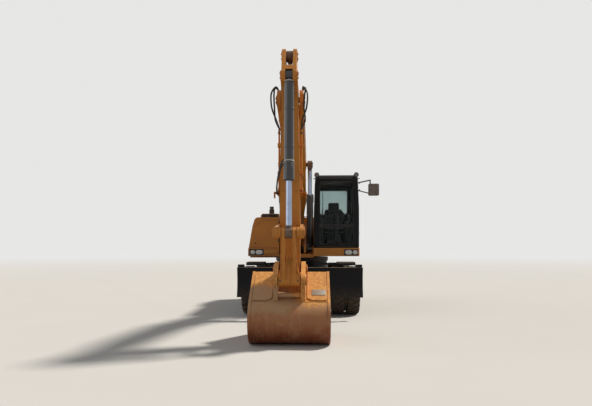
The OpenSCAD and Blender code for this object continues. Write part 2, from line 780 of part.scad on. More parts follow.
module work_lamps() {
    color(black) place() {
        translate([cab_x + 15 + seat_gap, upper_left - 328, 1342]) lamp_pair();
        translate([1225 + seat_gap, -822, 1342]) mirror([0, 1, 0]) lamp_pair();
        // Roof lamps on brackets that stand on the rounded roof edge
        difference() {
            for (y = [cab_y0 + 60, upper_left - 60]) translate([0, y, 0]) {
                block(cab_x - 230, cab_x - 60, -25, 25, cab_top - 130, cab_top - 15);
                translate([cab_x - 90, 0, cab_top - 15]) bar_x(50, 0, 80);
            }
            intersection() {
                xz(cab_y0 - 10, upper_left + 10) polygon(soft(cab_side(-seat_gap), 5));
                yz(cab_back - 10, cab_x + 10) polygon(soft(cab_front(-seat_gap), 5));
            }
        }
    }
}

// Cab

// Side outline of the cab drawn in by t, rows of [x, z, corner radius]
function cab_side(t) = [
    [cab_back + t, cab_z + t, 40], [cab_x - t, cab_z + t, 60], [cab_x - t, sill_z, 300],
    [cab_x - 70 - t, cab_top - t, 120], [cab_back + 20 + t, cab_top - t, 120]];

// Front outline of the cab drawn in by t, rows of [y, z, corner radius]
function cab_front(t) = [
    [cab_y0 + t, cab_z, 10], [upper_left - t, cab_z, 10], [upper_left - t, sill_z + 50, 0],
    [upper_left - 25 - t, cab_top, 90], [cab_y0 + 25 + t, cab_top, 90],
    [cab_y0 + t, sill_z + 50, 0]];

// Openings of the cab drawn in by t, the first two in [y, z] and the rest in [x, z]
door_x0 = cab_back + 420;
door_x1 = cab_x - 130;
door_z0 = cab_z + 40;
door_z1 = cab_top - 130;
function windshield(t) = [
    [cab_y0 + 120 + t, cab_z + 70 + t, 40], [upper_left - 120 - t, cab_z + 70 + t, 40],
    [upper_left - 125 - t, cab_top - 150 - t, 40], [cab_y0 + 125 + t, cab_top - 150 - t, 40]];
function rear_window(t) = [
    [cab_y0 + 130 + t, sill_z + 30 + t, 90], [upper_left - 130 - t, sill_z + 30 + t, 90],
    [upper_left - 130 - t, cab_top - 170 - t, 60], [cab_y0 + 130 + t, cab_top - 170 - t, 60]];
function right_window(t) = [
    [cab_back + 140 + t, sill_z - 50 + t, 60], [cab_x - 160 - t, split_z - 20 + t, 60],
    [cab_x - 190 - t, cab_top - 150 - t, 60], [cab_back + 140 + t, cab_top - 150 - t, 60]];
function quarter_window(t) = [
    [cab_back + 110 + t, sill_z + t, 40], [door_x0 - 80 - t, sill_z + t, 40],
    [door_x0 - 80 - t, cab_top - 150 - t, 40], [cab_back + 110 + t, cab_top - 150 - t, 40]];
function door_outline(t) = [
    [door_x0 + t, door_z0 + t, 60], [door_x1 - t, door_z0 + t, 60],
    [door_x1 - 20 - t, door_z1 - t, 60], [door_x0 + t, door_z1 - t, 60]];
function door_window(t) = [
    [door_x0 + 80 + t, 1800 + t, 60], [door_x1 - 90 - t, 1620 + t, 80],
    [door_x1 - 100 - t, door_z1 - 80 - t, 60], [door_x0 + 80 + t, door_z1 - 80 - t, 60]];

// Axis of the door's hinges in plan view, and the heights where they start
cab_hinge = [door_x0 - 10, upper_left + 24];
cab_hinge_z = [door_z0 + 200, door_z1 - 370];
hinge_r = 18;
hinge_pin_r = 10;
hinge_h = 90;

// Windshield opening drawn in by t, split by its bar
module windshield_shape(t) {
    difference() {
        polygon(soft(windshield(t), 4));
        translate([cab_y0, split_z - 20 - t]) square([cab_w, 40 + 2 * t]);
    }
}

module cab_room() {
    xz(cab_y0 + cab_t, upper_left - cab_t) polygon(soft(cab_side(cab_t), 5));
}

// Two lug plates of a hinge along Z with its pin, the plates running back to x = -60
module hinge_lugs(y_wall) {
    for (z = [-20 - seat_gap, hinge_h + seat_gap]) xy(z, z + 20) {
        circle(r = hinge_r);
        translate([-60, y_wall]) square([60, hinge_r - y_wall]);
    }
    translate([0, 0, -20]) cylinder(r = hinge_pin_r, h = hinge_h + 40);
}

// Barrel of a hinge along Z with a leaf that reaches x and dips to y
module hinge_knuckle(x, y) {
    difference() {
        xy(0, hinge_h) {
            circle(r = hinge_r);
            translate([0, -16]) square([x, 12]);
            translate([30, y]) square([x - 30, -4 - y]);
        }
        translate([0, 0, -1]) cylinder(r = hinge_pin_r + fit, h = hinge_h + 2);
    }
}

module cab_shell() {
    y0 = cab_y0;
    y1 = upper_left;
    color(black) place() {
        difference() {
            intersection() {
                xz(y0, y1) polygon(soft(cab_side(0), 5));
                yz(cab_back - 10, cab_x + 10) polygon(soft(cab_front(0), 5));
            }
            cab_room();
            yz(cab_x - 200, cab_x + 20) windshield_shape(0);
            yz(cab_back - 20, cab_back + 200) polygon(soft(rear_window(0), 4));
            xz(y0 - 20, y0 + 120) polygon(soft(right_window(0), 4));
            xz(y1 - 120, y1 + 20) polygon(soft(quarter_window(0), 4));
            xz(y1 - 120, y1 + 20) polygon(soft(door_outline(0), 4));
        }
        for (z = cab_hinge_z) translate([cab_hinge[0], cab_hinge[1], z]) hinge_lugs(-60);
        // Raised panel on the roof
        xy(cab_top - 20, cab_top + 22) polygon(soft([[cab_back + 150, y0 + 150, 60],
            [cab_x - 330, y0 + 150, 60], [cab_x - 330, y1 - 150, 60], [cab_back + 150, y1 - 150, 60]], 4));
    }
}

module cab_door() {
    y1 = upper_left;
    color(black) place() {
        difference() {
            intersection() {
                xz(y1 - cab_t + 10, y1) polygon(soft(door_outline(door_gap), 4));
                yz(cab_back - 10, cab_x + 10) polygon(soft(cab_front(2), 5));
            }
            xz(y1 - 200, y1 + 20) polygon(soft(door_window(0), 4));
        }
        for (z = cab_hinge_z) translate([cab_hinge[0], cab_hinge[1], z]) hinge_knuckle(70, -40);
    }
}

// Windshield and rear pane follow the cab's side outline; the side panes are flat
module cab_glass() {
    y0 = cab_y0;
    y1 = upper_left;
    color(glass) place() {
        intersection() {
            difference() {
                xz(y0 + 100, y1 - 100) polygon(soft(cab_side(20), 5));
                xz(y0, y1) polygon(soft(cab_side(20 + glass_t), 5));
            }
            union() {
                yz(cab_x - 200, cab_x + 20) windshield_shape(seat_gap);
                yz(cab_back - 20, cab_back + 100) polygon(soft(rear_window(seat_gap), 4));
            }
        }
        xz(y0 + 34, y0 + 34 + glass_t) polygon(soft(right_window(seat_gap), 4));
        xz(y1 - 34 - glass_t, y1 - 34) polygon(soft(quarter_window(seat_gap), 4));
    }
}

module door_glass() {
    color(glass) place() xz(upper_left - 36 - glass_t, upper_left - 36)
        polygon(soft(door_window(seat_gap), 4));
}

seat_x = cab_back + 520;
seat_y = (cab_y0 + upper_left) / 2;
floor_z = cab_z + cab_t;

module seat() {
    color(black) place() translate([seat_x, seat_y, floor_z]) {
        translate([-180, -190, seat_gap]) cube([440, 380, 300]);
        xz(-250, 250) polygon(soft([[-200, 300, 20], [320, 300, 30], [330, 400, 50],
                                    [260, 440, 60], [-200, 400, 20]], 4));
        xz(-240, 240) polygon(soft([[-200, 390, 20], [-70, 390, 30], [-150, 900, 60],
                                    [-270, 900, 60], [-290, 420, 30]], 4));
        xz(-130, 130) polygon(soft([[-180, 890, 20], [-160, 1080, 40], [-260, 1100, 40],
                                    [-270, 890, 20]], 4));
    }
}

module console() {
    color(black) place() translate([seat_x, seat_y, floor_z + seat_gap]) {
        for (s = [-1, 1]) {
            xz(s * 330 - 70, s * 330 + 70) polygon(soft([[-250, 0, 0], [350, 0, 20],
                [400, 520, 60], [250, 560, 40], [-250, 500, 60]], 4));
            translate([330, s * 330, 540]) cylinder(r = 18, h = 150);
        }
        translate([640, 0, 60 * sin(12)]) rotate([0, 12, 0]) cylinder(r = 60, h = 700);
        translate([780, 0, 690]) rotate([0, -18, 0]) rotate_extrude() translate([190, 0])
            circle(r = 17);
        translate([770, -190, 655]) cube([30, 380, 30]);
    }
}

module cab_mirror() {
    x = cab_x - 40;
    arm_z = cab_top - 194;
    color(black) place() difference() {
        union() {
            translate([x, upper_left - 40, arm_z]) rotate([-78, 0, 0]) cylinder(r = 14, h = 300);
            translate([x, upper_left + 245, arm_z - 266]) cylinder(r = 14, h = 325);
            translate([x, upper_left - 40, arm_z - 158]) rotate([-105, 0, 0])
                cylinder(r = 12, h = 300);
            yz(x - 60, x + 10) polygon(soft([[upper_left + 210, arm_z - 276, 25],
                [mirror_y, arm_z - 276, 25], [mirror_y, arm_z - 16, 25],
                [upper_left + 210, arm_z - 16, 25]], 4));
        }
        intersection() {
            xz(cab_y0 - 10, upper_left + 10) polygon(soft(cab_side(-seat_gap), 5));
            yz(cab_back - 10, cab_x + 10) polygon(soft(cab_front(-seat_gap), 5));
        }
    }
}

// Arm

boom_top = bend([150, 1880], [1250, 3880], [4330, 3868], 14);

module boom() {
    top = boom_top;
    under = bend([4460, 3580], [1700, 3150], [390, 1680], 14);
    color(yellow) place() translate([0, boom_y, 0]) difference() {
        union() {
            intersection() {
                union() {
                    xz(-boom_w, boom_w) polygon(concat(top, under));
                    pin_y(stick_pin, 150, -boom_w, boom_w);
                    pin_y(foot_pin, 150, -foot_w / 2, foot_w / 2);
                }
                // Plan view: narrow at the foot
                xy(1000, 5000) polygon([[0, -foot_w / 2], [850, -foot_w / 2], [1250, -boom_w / 2],
                    [4700, -boom_w / 2], [4700, boom_w / 2], [1250, boom_w / 2],
                    [850, foot_w / 2], [0, foot_w / 2]]);
            }
            // Ears of the stick cylinder's foot
            for (s = [-1, 1]) translate([0, s * (eye_w / 2 + side_gap + 20), 0]) xz(-20, 20)
                link_shape(stick_cyl_foot, stick_cyl_foot - [60, 380], 80, 170);
            pin_y(stick_cyl_foot, cyl_pin_r, -130, 130);
        }
        // Fork for the stick
        xz(-stick_fork, stick_fork) polygon([[4060, 3300], [4060, 3640], [3800, 3720],
                                             [3700, 4000], [4900, 4200], [4900, 3300]]);
        pin_y(foot_pin, pin_r + fit, -500, 500);
    }
    color(steel) place() translate([0, boom_y, 0])
        pin_y(stick_pin, pin_r, -boom_w / 2 - 15, boom_w / 2 + 15);
}

stick_mid_w = 250;
stick_fork = stick_mid_w / 2 + side_gap + 10;

// Pipes on the boom's top, each at [y] from the arm's plane, and their height over it
pipe_y = [boom_w / 2 - 16, boom_w / 2 - 48];
pipe_h = 30;
function pipe_point(i) =
    let (u = unit(boom_top[i + 1] - boom_top[i]))
    (boom_top[i] + boom_top[i + 1]) / 2 + pipe_h * [-u[1], u[0]];
boom_pipe = [for (i = [3:13]) pipe_point(i)];

module boom_pipes() {
    end = boom_pipe[len(boom_pipe) - 1];
    last = unit(end - boom_pipe[len(boom_pipe) - 2]);
    color(yellow) place() translate([0, boom_y, 0]) for (s = [-1, 1]) {
        for (y = pipe_y) {
            tube([for (p = boom_pipe) [p[0], s * y, p[1]]], pipe_r);
            // Fitting where the hose starts
            translate([0, s * y, 0]) aim(end - last * 20, end + last * 40) bar_x(pipe_r + 1, 0, 60);
        }
        // Clamps that stand on the boom's top plate
        for (i = [4, 7, 10, 12]) aim(boom_top[i], boom_top[i + 1]) {
            m = norm(boom_top[i + 1] - boom_top[i]) / 2;
            block(m - 30, m + 30, s > 0 ? pipe_y[1] - 16 : -boom_w / 2,
                  s > 0 ? boom_w / 2 : -pipe_y[1] + 16, seat_gap, pipe_h + pipe_r + 8);
        }
    }
}

// Pipes down the sides of the stick, at [x, y] from the arm's plane
stick_pipe = [[4400, 172], [4460, 172]];
stick_pipe_z = [2330, 3240];

module stick_front(t) {
    polygon([[-stick_w / 2 - t, 900], [stick_w / 2 + t, 900], [stick_w / 2 + t, 2400],
        [stick_mid_w / 2 + t, 3300], [stick_mid_w / 2 + t, 3900], [tail_w / 2 + t, 4000],
        [tail_w / 2 + t, 4600], [-tail_w / 2 - t, 4600], [-tail_w / 2 - t, 4000],
        [-stick_mid_w / 2 - t, 3900], [-stick_mid_w / 2 - t, 3300], [-stick_w / 2 - t, 2400]]);
}

module stick_pipes() {
    color(yellow) place() translate([0, boom_y, 0]) both_sides() difference() {
        union() {
            for (p = stick_pipe) {
                translate([p[0], p[1], stick_pipe_z[0]])
                    cylinder(r = pipe_r, h = stick_pipe_z[1] - stick_pipe_z[0]);
                translate([p[0], p[1], stick_pipe_z[1] - 50]) cylinder(r = pipe_r + 4, h = 50);
                translate([p[0], p[1], stick_pipe_z[0] - 90]) cylinder(r = pipe_r + 10, h = 120);
            }
            for (z = [2560, 2990]) block(4370, 4490, 100, 194, z, z + 50);
            // Bracket of the couplings
            block(4350, 4510, 100, 250, stick_pipe_z[0] - 50, stick_pipe_z[0] - 34);
            block(4350, 4510, 236, 250, stick_pipe_z[0] - 120, stick_pipe_z[0] - 34);
        }
        yz(4000, 5000) stick_front(seat_gap);
    }
}

// Hoses from the boom's pipes to the stick's, which bend as the stick turns
module arm_hoses() {
    end = boom_pipe[len(boom_pipe) - 1];
    last = unit(end - boom_pipe[len(boom_pipe) - 2]);
    start = end + last * 40;
    color(rubber) place() translate([0, boom_y, 0]) both_sides() for (i = [0, 1]) {
        y = pipe_y[i];
        p = stick_pipe[1 - i];
        k = 1 - i;
        first = start + last * 8;
        foot = stick_pipe_z[1] + seat_gap;
        tube(concat([[start[0], y, start[1]]], through([[first[0], y, first[1]],
            [first[0] + last[0] * 25, y, first[1] + last[1] * 25],
            [4390, 232 + 36 * k, 3912 + 18 * k], [4520 + 14 * k, 292 + 40 * k, 3770 + 12 * k],
            [4560 + 16 * k, 282 + 40 * k, 3560], [4500 + 36 * k, 226 + 34 * k, 3390],
            [p[0], p[1], foot + 35], [p[0], p[1], foot + 8]], 4), [[p[0], p[1], foot]]), hose_r, 8);
    }
}

// Lift cylinders: rods drift from their pins as the boom moves, so each eye is closed
module lift_barrels() {
    color(black) place() for (s = [-1, 1])
        aim(lift_foot, lift_pin, boom_y + s * lift_off)
            barrel(lift_r, 1350);
}

module lift_rods() {
    color(chrome) place() for (s = [-1, 1])
        aim(lift_foot, lift_pin, boom_y + s * lift_off)
            rod(norm(lift_pin - lift_foot), 1256);
    // Stub of the split pin, up to the boom's side
    color(chrome) place() translate([0, boom_y, 0]) for (s = [-1, 1])
        pin_y(lift_pin, cyl_pin_r, s > 0 ? boom_w / 2 + 1 : -lift_off,
            s > 0 ? lift_off : -boom_w / 2 - 1);
}

// Barrel along +X with its eye at the start, hollow for the rod
module barrel(r, len) {
    difference() {
        union() {
            rotate([-90, 0, 0]) translate([0, 0, -eye_w / 2])
                cylinder(r = cyl_pin_r + 38, h = eye_w);
            bar_x(eye_w / 2 - 1, 30, 130);
            bar_x(r, 112, len - 60);
            bar_x(r + 8, len - 160, len);
        }
        rotate([-90, 0, 0]) translate([0, 0, -eye_w])
            cylinder(r = cyl_pin_r + fit, h = 2 * eye_w);
        bar_x(rod_r + fit, 150, len + 1);
    }
}

// Rod along +X of the length len, with its closed eye at reach
module rod(reach, len) {
    bar_x(rod_r, reach - len, reach - 40);
    translate([reach, 0, 0]) rotate([-90, 0, 0]) translate([0, 0, -eye_w / 2])
        cylinder(r = cyl_pin_r + 40, h = eye_w);
}

module stick() {
    // Side outline, rows of [x, z, corner radius]
    rows = [[4338, 1115, 40], [4335, 1500, 200], [4250, 2500, 500], [4222, 3560, 160],
            [4240, 3840, 160], [4550, 4320, 90], [4640, 4398, 60], [4750, 4370, 60],
            [4915, 4010, 60], [4920, 3900, 60], [4740, 3820, 80], [4665, 3500, 200],
            [4600, 2300, 500], [4535, 1550, 200], [4540, 1300, 100], [4562, 1115, 40]];
    slot = eye_w / 2 + side_gap;
    color(yellow) place() translate([0, boom_y, 0]) difference() {
        intersection() {
            union() {
                xz(-400, 400) polygon(soft(rows, 5));
                pin_y(bucket_pin, 118, -400, 400);
                pin_y(stick_pin, 170, -400, 400);
                pin_y(tail_pin, 108, -400, 400);
                pin_y(bucket_cyl_foot, 95, -400, 400);
            }
            // Front view: narrow tail, wide lower end
            yz(4000, 5000) stick_front(0);
        }
        // Slot for the stick cylinder's rod, then the pocket round the bucket cylinder's eye
        block(4200, 4900, -slot, slot, 4085, 4600);
        xz(-slot, slot) link_shape(bucket_cyl_foot, bucket_cyl_foot + [60, -300], 96, 110);
        pin_y(stick_pin, pin_r + fit, -400, 400);
    }
    color(steel) place() translate([0, boom_y, 0]) {
        pin_y(bucket_cyl_foot, cyl_pin_r, -tail_w / 2 - 10, tail_w / 2 + 10);
        pin_y(bucket_pin, pin_r, -stick_w / 2 - 110, stick_w / 2 + 110);
        pin_y(idler_pin, cyl_pin_r, -stick_w / 2 - 70, stick_w / 2 + 70);
    }
}

module stick_barrel() {
    color(black) place() aim(stick_cyl_foot, tail_pin, boom_y)
        barrel(stick_cyl_r, 1770);
}

module stick_rod() {
    color(chrome) place() aim(stick_cyl_foot, tail_pin, boom_y)
        rod(norm(tail_pin - stick_cyl_foot), 1358);
}

module bucket_barrel() {
    color(black) place() aim(bucket_cyl_foot, link_pin, boom_y)
        barrel(bucket_cyl_r, 1535);
}

module bucket_rod() {
    color(chrome) place() aim(bucket_cyl_foot, link_pin, boom_y)
        rod(norm(link_pin - bucket_cyl_foot), 1095);
}

// Idler links outside the stick, with the split link pin that they carry
module idler_links() {
    in_y = stick_w / 2 + side_gap;
    color(yellow) place() translate([0, boom_y, 0]) for (s = [-1, 1]) mirror([0, s < 0 ? 1 : 0, 0])
        difference() {
            union() {
                xz(in_y, in_y + 45) link_shape(idler_pin, link_pin, 85, 85);
                pin_y(link_pin, cyl_pin_r, eye_w / 2 + seat_gap, in_y + 60);
                pin_y(link_pin, 80, 112, in_y + 60);
            }
            pin_y(idler_pin, cyl_pin_r + fit, 0, 400);
        }
}

// Power link: two cheeks round the rod's eye that join a flared tube between the bucket's ears
module power_link() {
    half = eye_w / 2 + side_gap;
    tube = stick_w / 2 + 6;
    color(yellow) place() translate([0, boom_y, 0]) difference() {
        union() {
            for (s = [-1, 1]) translate([0, s * (half + 24), 0]) xz(-24, 24)
                link_shape(link_pin, ear_pin, 78, 70);
            pin_y(ear_pin, 78, -tube, tube);
            intersection() {
                xz(-tube, tube) link_shape(ear_pin, ear_pin + [50, 340], 70, 40);
                yz(4500, 5200) polygon([[-tube, 900], [tube, 900], [tube, 1040], [85, 1300],
                                        [-85, 1300], [-tube, 1040]]);
            }
        }
        for (s = [-1, 1]) pin_y(link_pin, cyl_pin_r + fit, s > 0 ? 0 : -200, s > 0 ? 200 : 0);
    }
    // Rib down the front of the flared part
    color(yellow) place() translate([0, boom_y, 0]) xz(-9, 9)
        link_shape(ear_pin + [10, 0], ear_pin + [66, 320], 82, 42);
}

// Bucket

wrap_c = [4580, wrap_r + strip_h + 4];
plate_dir = [0.8, -0.6];
plate_n = [0.6, 0.8];

floor_start = wrap_c + wrap_r * [sin(-10), -cos(10)];
floor_end = floor_start + [-cos(10), sin(10)] * 800;

// Bucket section drawn in by t, open towards the machine
module bucket_section(t, grow) {
    r = wrap_r - t;
    bottom_n = [sin(-10), -cos(10)];
    a = wrap_c + r * plate_n;
    b = wrap_c + r * bottom_n;
    top = a - 690 * plate_dir;
    low = b + [-cos(10), sin(10)] * 800;
    translate(wrap_c) circle(r = r, $fn = 96);
    polygon([wrap_c, a, top, top + [-grow, -60], low + [-grow, 0], low, b]);
}

back_at = wrap_c + wrap_r * plate_n;

module bucket() {
    half = bucket_w / 2;
    in_ear = stick_w / 2 + side_gap + 14;
    color("#7A4A2A") place() translate([0, boom_y, 0]) {
        difference() {
            union() {
                xz(-half, half) bucket_section(0, 0);
                // Strips round both sides
                for (s = [-1, 1]) translate([0, s * (half - 20), 0]) xz(-20, 20)
                    bucket_section(-strip_h, 0);
                // Plates welded to the back beside the ears
                for (s = [-1, 1]) mirror([0, s < 0 ? 1 : 0, 0])
                    translate([back_at[0], 0, back_at[1]]) rotate([0, atan2(plate_n[0], plate_n[1]), 0])
                        xy(-10, 12) polygon(soft([[-640, in_ear + ear_t + 30, 30],
                            [-30, in_ear + ear_t + 30, 70], [-30, half - 50, 20],
                            [-640, half - 50, 20]], 5));
            }
            xz(-half + shell_t, half - shell_t) bucket_section(shell_t, 300);
        }
        // Cross tube between the ears
        pin_y(ear_pin + [-58, -208], 40, -in_ear - 5, in_ear + 5);
        difference() {
            for (s = [-1, 1]) translate([0, s * (in_ear + ear_t / 2), 0])
                xz(-ear_t / 2, ear_t / 2) difference() {
                    union() {
                        link_shape(bucket_pin, ear_pin, 120, 105);
                        polygon([bucket_pin + [-110, 30], bucket_pin + [-180, -60],
                                 [4770, 640], ear_pin + [100, -40], ear_pin, bucket_pin]);
                    }
                    bucket_section(2, 0);
                }
            pin_y(bucket_pin, pin_r + fit, -400, 400);
        }
    }
}

// Teeth whose sockets straddle the cutting edge, drawn along the floor plate from its end
module bucket_teeth() {
    pitch = (bucket_w - 180) / (tooth_count - 1);
    g = seat_gap;
    color(steel) place() translate([0, boom_y, 0]) for (i = [0:tooth_count - 1])
        translate([floor_end[0], -bucket_w / 2 + 90 + i * pitch, floor_end[1]])
            rotate([0, 10, 0]) xz(-42, 42) difference() {
                polygon([[120, -10], [120, shell_t + 10], [10, shell_t + 22], [-150, 16],
                         [-150, 6], [10, -22]]);
                translate([-g, -g]) square([200, shell_t + 2 * g]);
            }
}

chassis_frame();
swing_ring();
front_axle();
rear_axle();
knuckle_left();
knuckle_right();
rims_front_left();
rims_front_right();
rims_rear_left();
rims_rear_right();
tyres_front_left();
tyres_front_right();
tyres_rear_left();
tyres_rear_right();
tool_boxes();
blade_arms();
blade_links();
dozer_blade();
blade_barrels();
blade_rods();
upper_frame();
counterweight();
engine_housing();
engine_hood();
engine_block();
exhaust_stack();
service_door();
right_body();
cab_platform();
work_lamps();
cab_shell();
cab_door();
cab_glass();
door_glass();
seat();
console();
cab_mirror();
boom();
lift_barrels();
lift_rods();
stick();
stick_barrel();
stick_rod();
bucket_barrel();
bucket_rod();
idler_links();
power_link();
bucket();
bucket_teeth();
front_fenders();
boom_pipes();
stick_pipes();
arm_hoses();
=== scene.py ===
import math

import bmesh
import bpy
from bpy.props import FloatProperty, FloatVectorProperty, IntProperty, PointerProperty
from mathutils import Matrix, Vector


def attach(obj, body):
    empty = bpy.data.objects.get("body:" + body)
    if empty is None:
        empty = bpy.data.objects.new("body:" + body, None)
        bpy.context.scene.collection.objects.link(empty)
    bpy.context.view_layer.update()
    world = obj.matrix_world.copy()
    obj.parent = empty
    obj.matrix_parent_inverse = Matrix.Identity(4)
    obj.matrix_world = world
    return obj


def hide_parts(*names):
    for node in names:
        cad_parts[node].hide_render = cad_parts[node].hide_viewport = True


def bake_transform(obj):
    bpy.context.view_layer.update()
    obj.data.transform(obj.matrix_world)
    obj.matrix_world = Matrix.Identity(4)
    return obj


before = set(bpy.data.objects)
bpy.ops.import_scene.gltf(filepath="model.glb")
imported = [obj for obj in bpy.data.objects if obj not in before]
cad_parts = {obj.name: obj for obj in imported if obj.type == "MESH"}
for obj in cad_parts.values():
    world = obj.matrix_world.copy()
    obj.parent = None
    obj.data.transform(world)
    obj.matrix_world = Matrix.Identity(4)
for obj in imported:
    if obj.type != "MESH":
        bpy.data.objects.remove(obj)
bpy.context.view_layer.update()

bl_info = {
    "name": "Wheeled excavator dressing",
    "version": (1, 0, 0),
    "blender": (4, 5, 0),
    "location": "View3D > Sidebar > Excavator",
    "description": "Dresses the packed wheeled excavator with its finishes and fine pieces",
    "category": "Object",
}

# Middle of the machine's footprint from the swing centre, in millimetres
MID_X, MID_Y = 1417.5, 227.5
# The arm's plane, and the pins in side view as (x, z) from the swing centre, in millimetres
ARM_Y = -90.0
PINS = {
    "foot": (250, 1750), "lift_foot": (980, 1420), "lift": (2100, 3120), "stick": (4400, 3720),
    "stick_cyl_foot": (1950, 3780), "tail": (4660, 4290), "bucket_cyl_foot": (4840, 3950),
    "idler": (4450, 1720), "link": (4950, 1660), "bucket": (4450, 1115), "ear": (4800, 960),
}
# How far the boom's two pipes, the stick's pipes and the lift cylinders lie from the arm's plane
BOOM_PIPE_Y, STICK_PIPE_Y, LIFT_Y = (184, 152), 172, 290
STICK_PIPE_X = (4400, 4460)
# Round back of the bucket: centre and radius
WRAP_X, WRAP_Z, WRAP_R = 4580, 368, 356
FRONT_AXLE, REAR_AXLE, TYRE_R, TYRE_W, TWIN_GAP, HUB_IN = 1250, -1350, 520, 275, 50, 660
CAB_Y0, CAB_Y1, CAB_X, CAB_BACK, CAB_Z = 290, 1275, 1250, -470, 1440
# Round back of the counterweight
TAIL_R = 2200
LAMP_Z, ROOF_LAMP_Z = 1342, 3045

# The photo's camera: width, focal length and shift in pixels, place in millimetres, turn in degrees
PHOTO_W, FOCAL, SHIFT, SENSOR = 592, 480, 44.4, 36.0
CAMERA_AT, CAMERA_TURN = (11800, 235, 1450), 1.86
# Half the floor's side, and where its colour starts and ends to fade, in metres
FLOOR_HALF, FADE = 900, (12, 70)


# Values that a user may change

COLOUR = {"subtype": "COLOR", "size": 3, "min": 0, "max": 1}


class ExcavatorLooks(bpy.types.PropertyGroup):
    paint: FloatVectorProperty(
        name="Body paint", description="Orange-yellow of the body and arm",
        default=(0.60, 0.225, 0.030), **COLOUR)
    frame_paint: FloatVectorProperty(
        name="Frame paint", description="Near-black of the chassis, cab and blade",
        default=(0.009, 0.009, 0.0105), **COLOUR)
    dust: FloatVectorProperty(
        name="Dust", description="Dry earth that settles on tyres, steps and ledges",
        default=(0.20, 0.145, 0.10), **COLOUR)
    rust: FloatVectorProperty(
        name="Worn bucket", description="Brown of the bucket where earth has worn its paint",
        default=(0.17, 0.062, 0.024), **COLOUR)
    wear: FloatProperty(
        name="Edge wear", description="How much paint is rubbed off along edges",
        subtype="FACTOR", min=0, max=1, default=0.5)
    sun: FloatProperty(
        name="Key light", description="Strength of the key light from behind",
        min=0, max=10, default=3.5)
    sky: FloatProperty(
        name="Soft light", description="Strength of the light from all round",
        min=0, max=2, default=0.25)
    floor: FloatVectorProperty(
        name="Floor", description="Colour of the plain floor", default=(0.62, 0.61, 0.59), **COLOUR)
    lugs: IntProperty(
        name="Lugs round a tyre", description="Number of lug pairs round each tyre",
        min=12, max=40, default=22)


def looks():
    return bpy.context.scene.excavator_looks


# Geometry, all in millimetres from the swing centre at ground level

def around(count, shift=0):
    """Angles evenly spaced round a circle."""
    return [math.tau * (i + shift) / count for i in range(count)]


def circle(mid, side, up, r, sides):
    """Points round mid, in the plane of side and up."""
    return [mid + (side * math.cos(a) + up * math.sin(a)) * r for a in around(sides)]


class Shape:
    """Collects faces in one mesh; every measure is in millimetres."""

    def __init__(self):
        self.bm = bmesh.new()

    def skin(self, rings, caps=True):
        """Faces between closed rings that have equally many points."""
        made = [[self.bm.verts.new(p) for p in ring] for ring in rings]
        count = len(made[0])
        for a, b in zip(made, made[1:]):
            for i in range(count):
                j = (i + 1) % count
                self.bm.faces.new([a[i], a[j], b[j], b[i]])
        if caps:
            self.bm.faces.new(list(reversed(made[0])))
            self.bm.faces.new(made[-1])

    def slab(self, lo, hi, soft=0.0, steps=2):
        """A box with softened edges."""
        lo, hi = Vector(lo), Vector(hi)
        before = set(self.bm.verts)
        bmesh.ops.create_cube(self.bm, size=1.0)
        new = [v for v in self.bm.verts if v not in before]
        size, mid = hi - lo, (hi + lo) / 2
        for v in new:
            v.co = Vector((v.co.x * size.x, v.co.y * size.y, v.co.z * size.z)) + mid
        if soft > 0:
            edges = list({e for v in new for e in v.link_edges})
            bmesh.ops.bevel(self.bm, geom=edges, offset=min(soft, min(size) * 0.45),
                            segments=steps, profile=0.5, affect="EDGES")

    def bar(self, p, q, r, sides=20, chamfer=0.0):
        """A round bar from p to q, with chamfered ends where told."""
        way = Vector(q) - Vector(p)
        length = way.length
        rows = [(0, r), (length, r)]
        if chamfer > 0:
            rows = [(0, r - chamfer), (chamfer, r), (length - chamfer, r), (length, r - chamfer)]
        self.turned(p, way, rows, sides, caps=True)

    def turned(self, centre, axis, rows, sides=40, caps=False):
        """A ring or disc turned round axis; rows of (distance along the axis, radius)."""
        axis = Vector(axis).normalized()
        side = axis.orthogonal().normalized()
        up = axis.cross(side)
        self.skin([circle(Vector(centre) + axis * d, side, up, r, sides) for d, r in rows], caps)

    def hose(self, points, r, sides=10, smooth=6):
        """A tube along a smooth curve through the points."""
        route = curve_through(points, smooth)
        rings = []
        side = (route[1] - route[0]).orthogonal().normalized()
        for i, p in enumerate(route):
            along = (route[min(i + 1, len(route) - 1)] - route[max(i - 1, 0)]).normalized()
            side = (side - along * side.dot(along)).normalized()
            rings.append(circle(p, side, along.cross(side), r, sides))
        self.skin(rings)

    def bolt(self, p, axis, r=13, h=11):
        """A hexagon head on its washer."""
        p, axis = Vector(p), Vector(axis).normalized()
        self.bar(p, p + axis * 3, r * 1.35, sides=16)
        self.bar(p + axis * 3, p + axis * (3 + h), r, sides=6, chamfer=1.5)

    def piece(self, name, body, look, sharp=35, instead_of=()):
        """Ends the shape as an object that rides on a body, or on none."""
        for v in self.bm.verts:
            v.co = Vector(((v.co.x - MID_X), (v.co.y - MID_Y), v.co.z)) / 1000
        bmesh.ops.recalc_face_normals(self.bm, faces=self.bm.faces)
        mesh = bpy.data.meshes.new(name)
        self.bm.to_mesh(mesh)
        self.bm.free()
        obj = bpy.data.objects.new(name, mesh)
        bpy.context.scene.collection.objects.link(obj)
        mesh.materials.append(finish(look))
        shade(mesh, sharp)
        if body:
            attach(obj, body)
        if instead_of:
            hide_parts(*instead_of)
        return obj


def shade(mesh, sharp):
    """Smooth shading with edges over the angle kept sharp."""
    if not mesh.polygons:
        raise RuntimeError("a piece has no faces")
    mesh.polygons.foreach_set("use_smooth", [True] * len(mesh.polygons))
    mesh.set_sharp_from_angle(angle=math.radians(sharp))


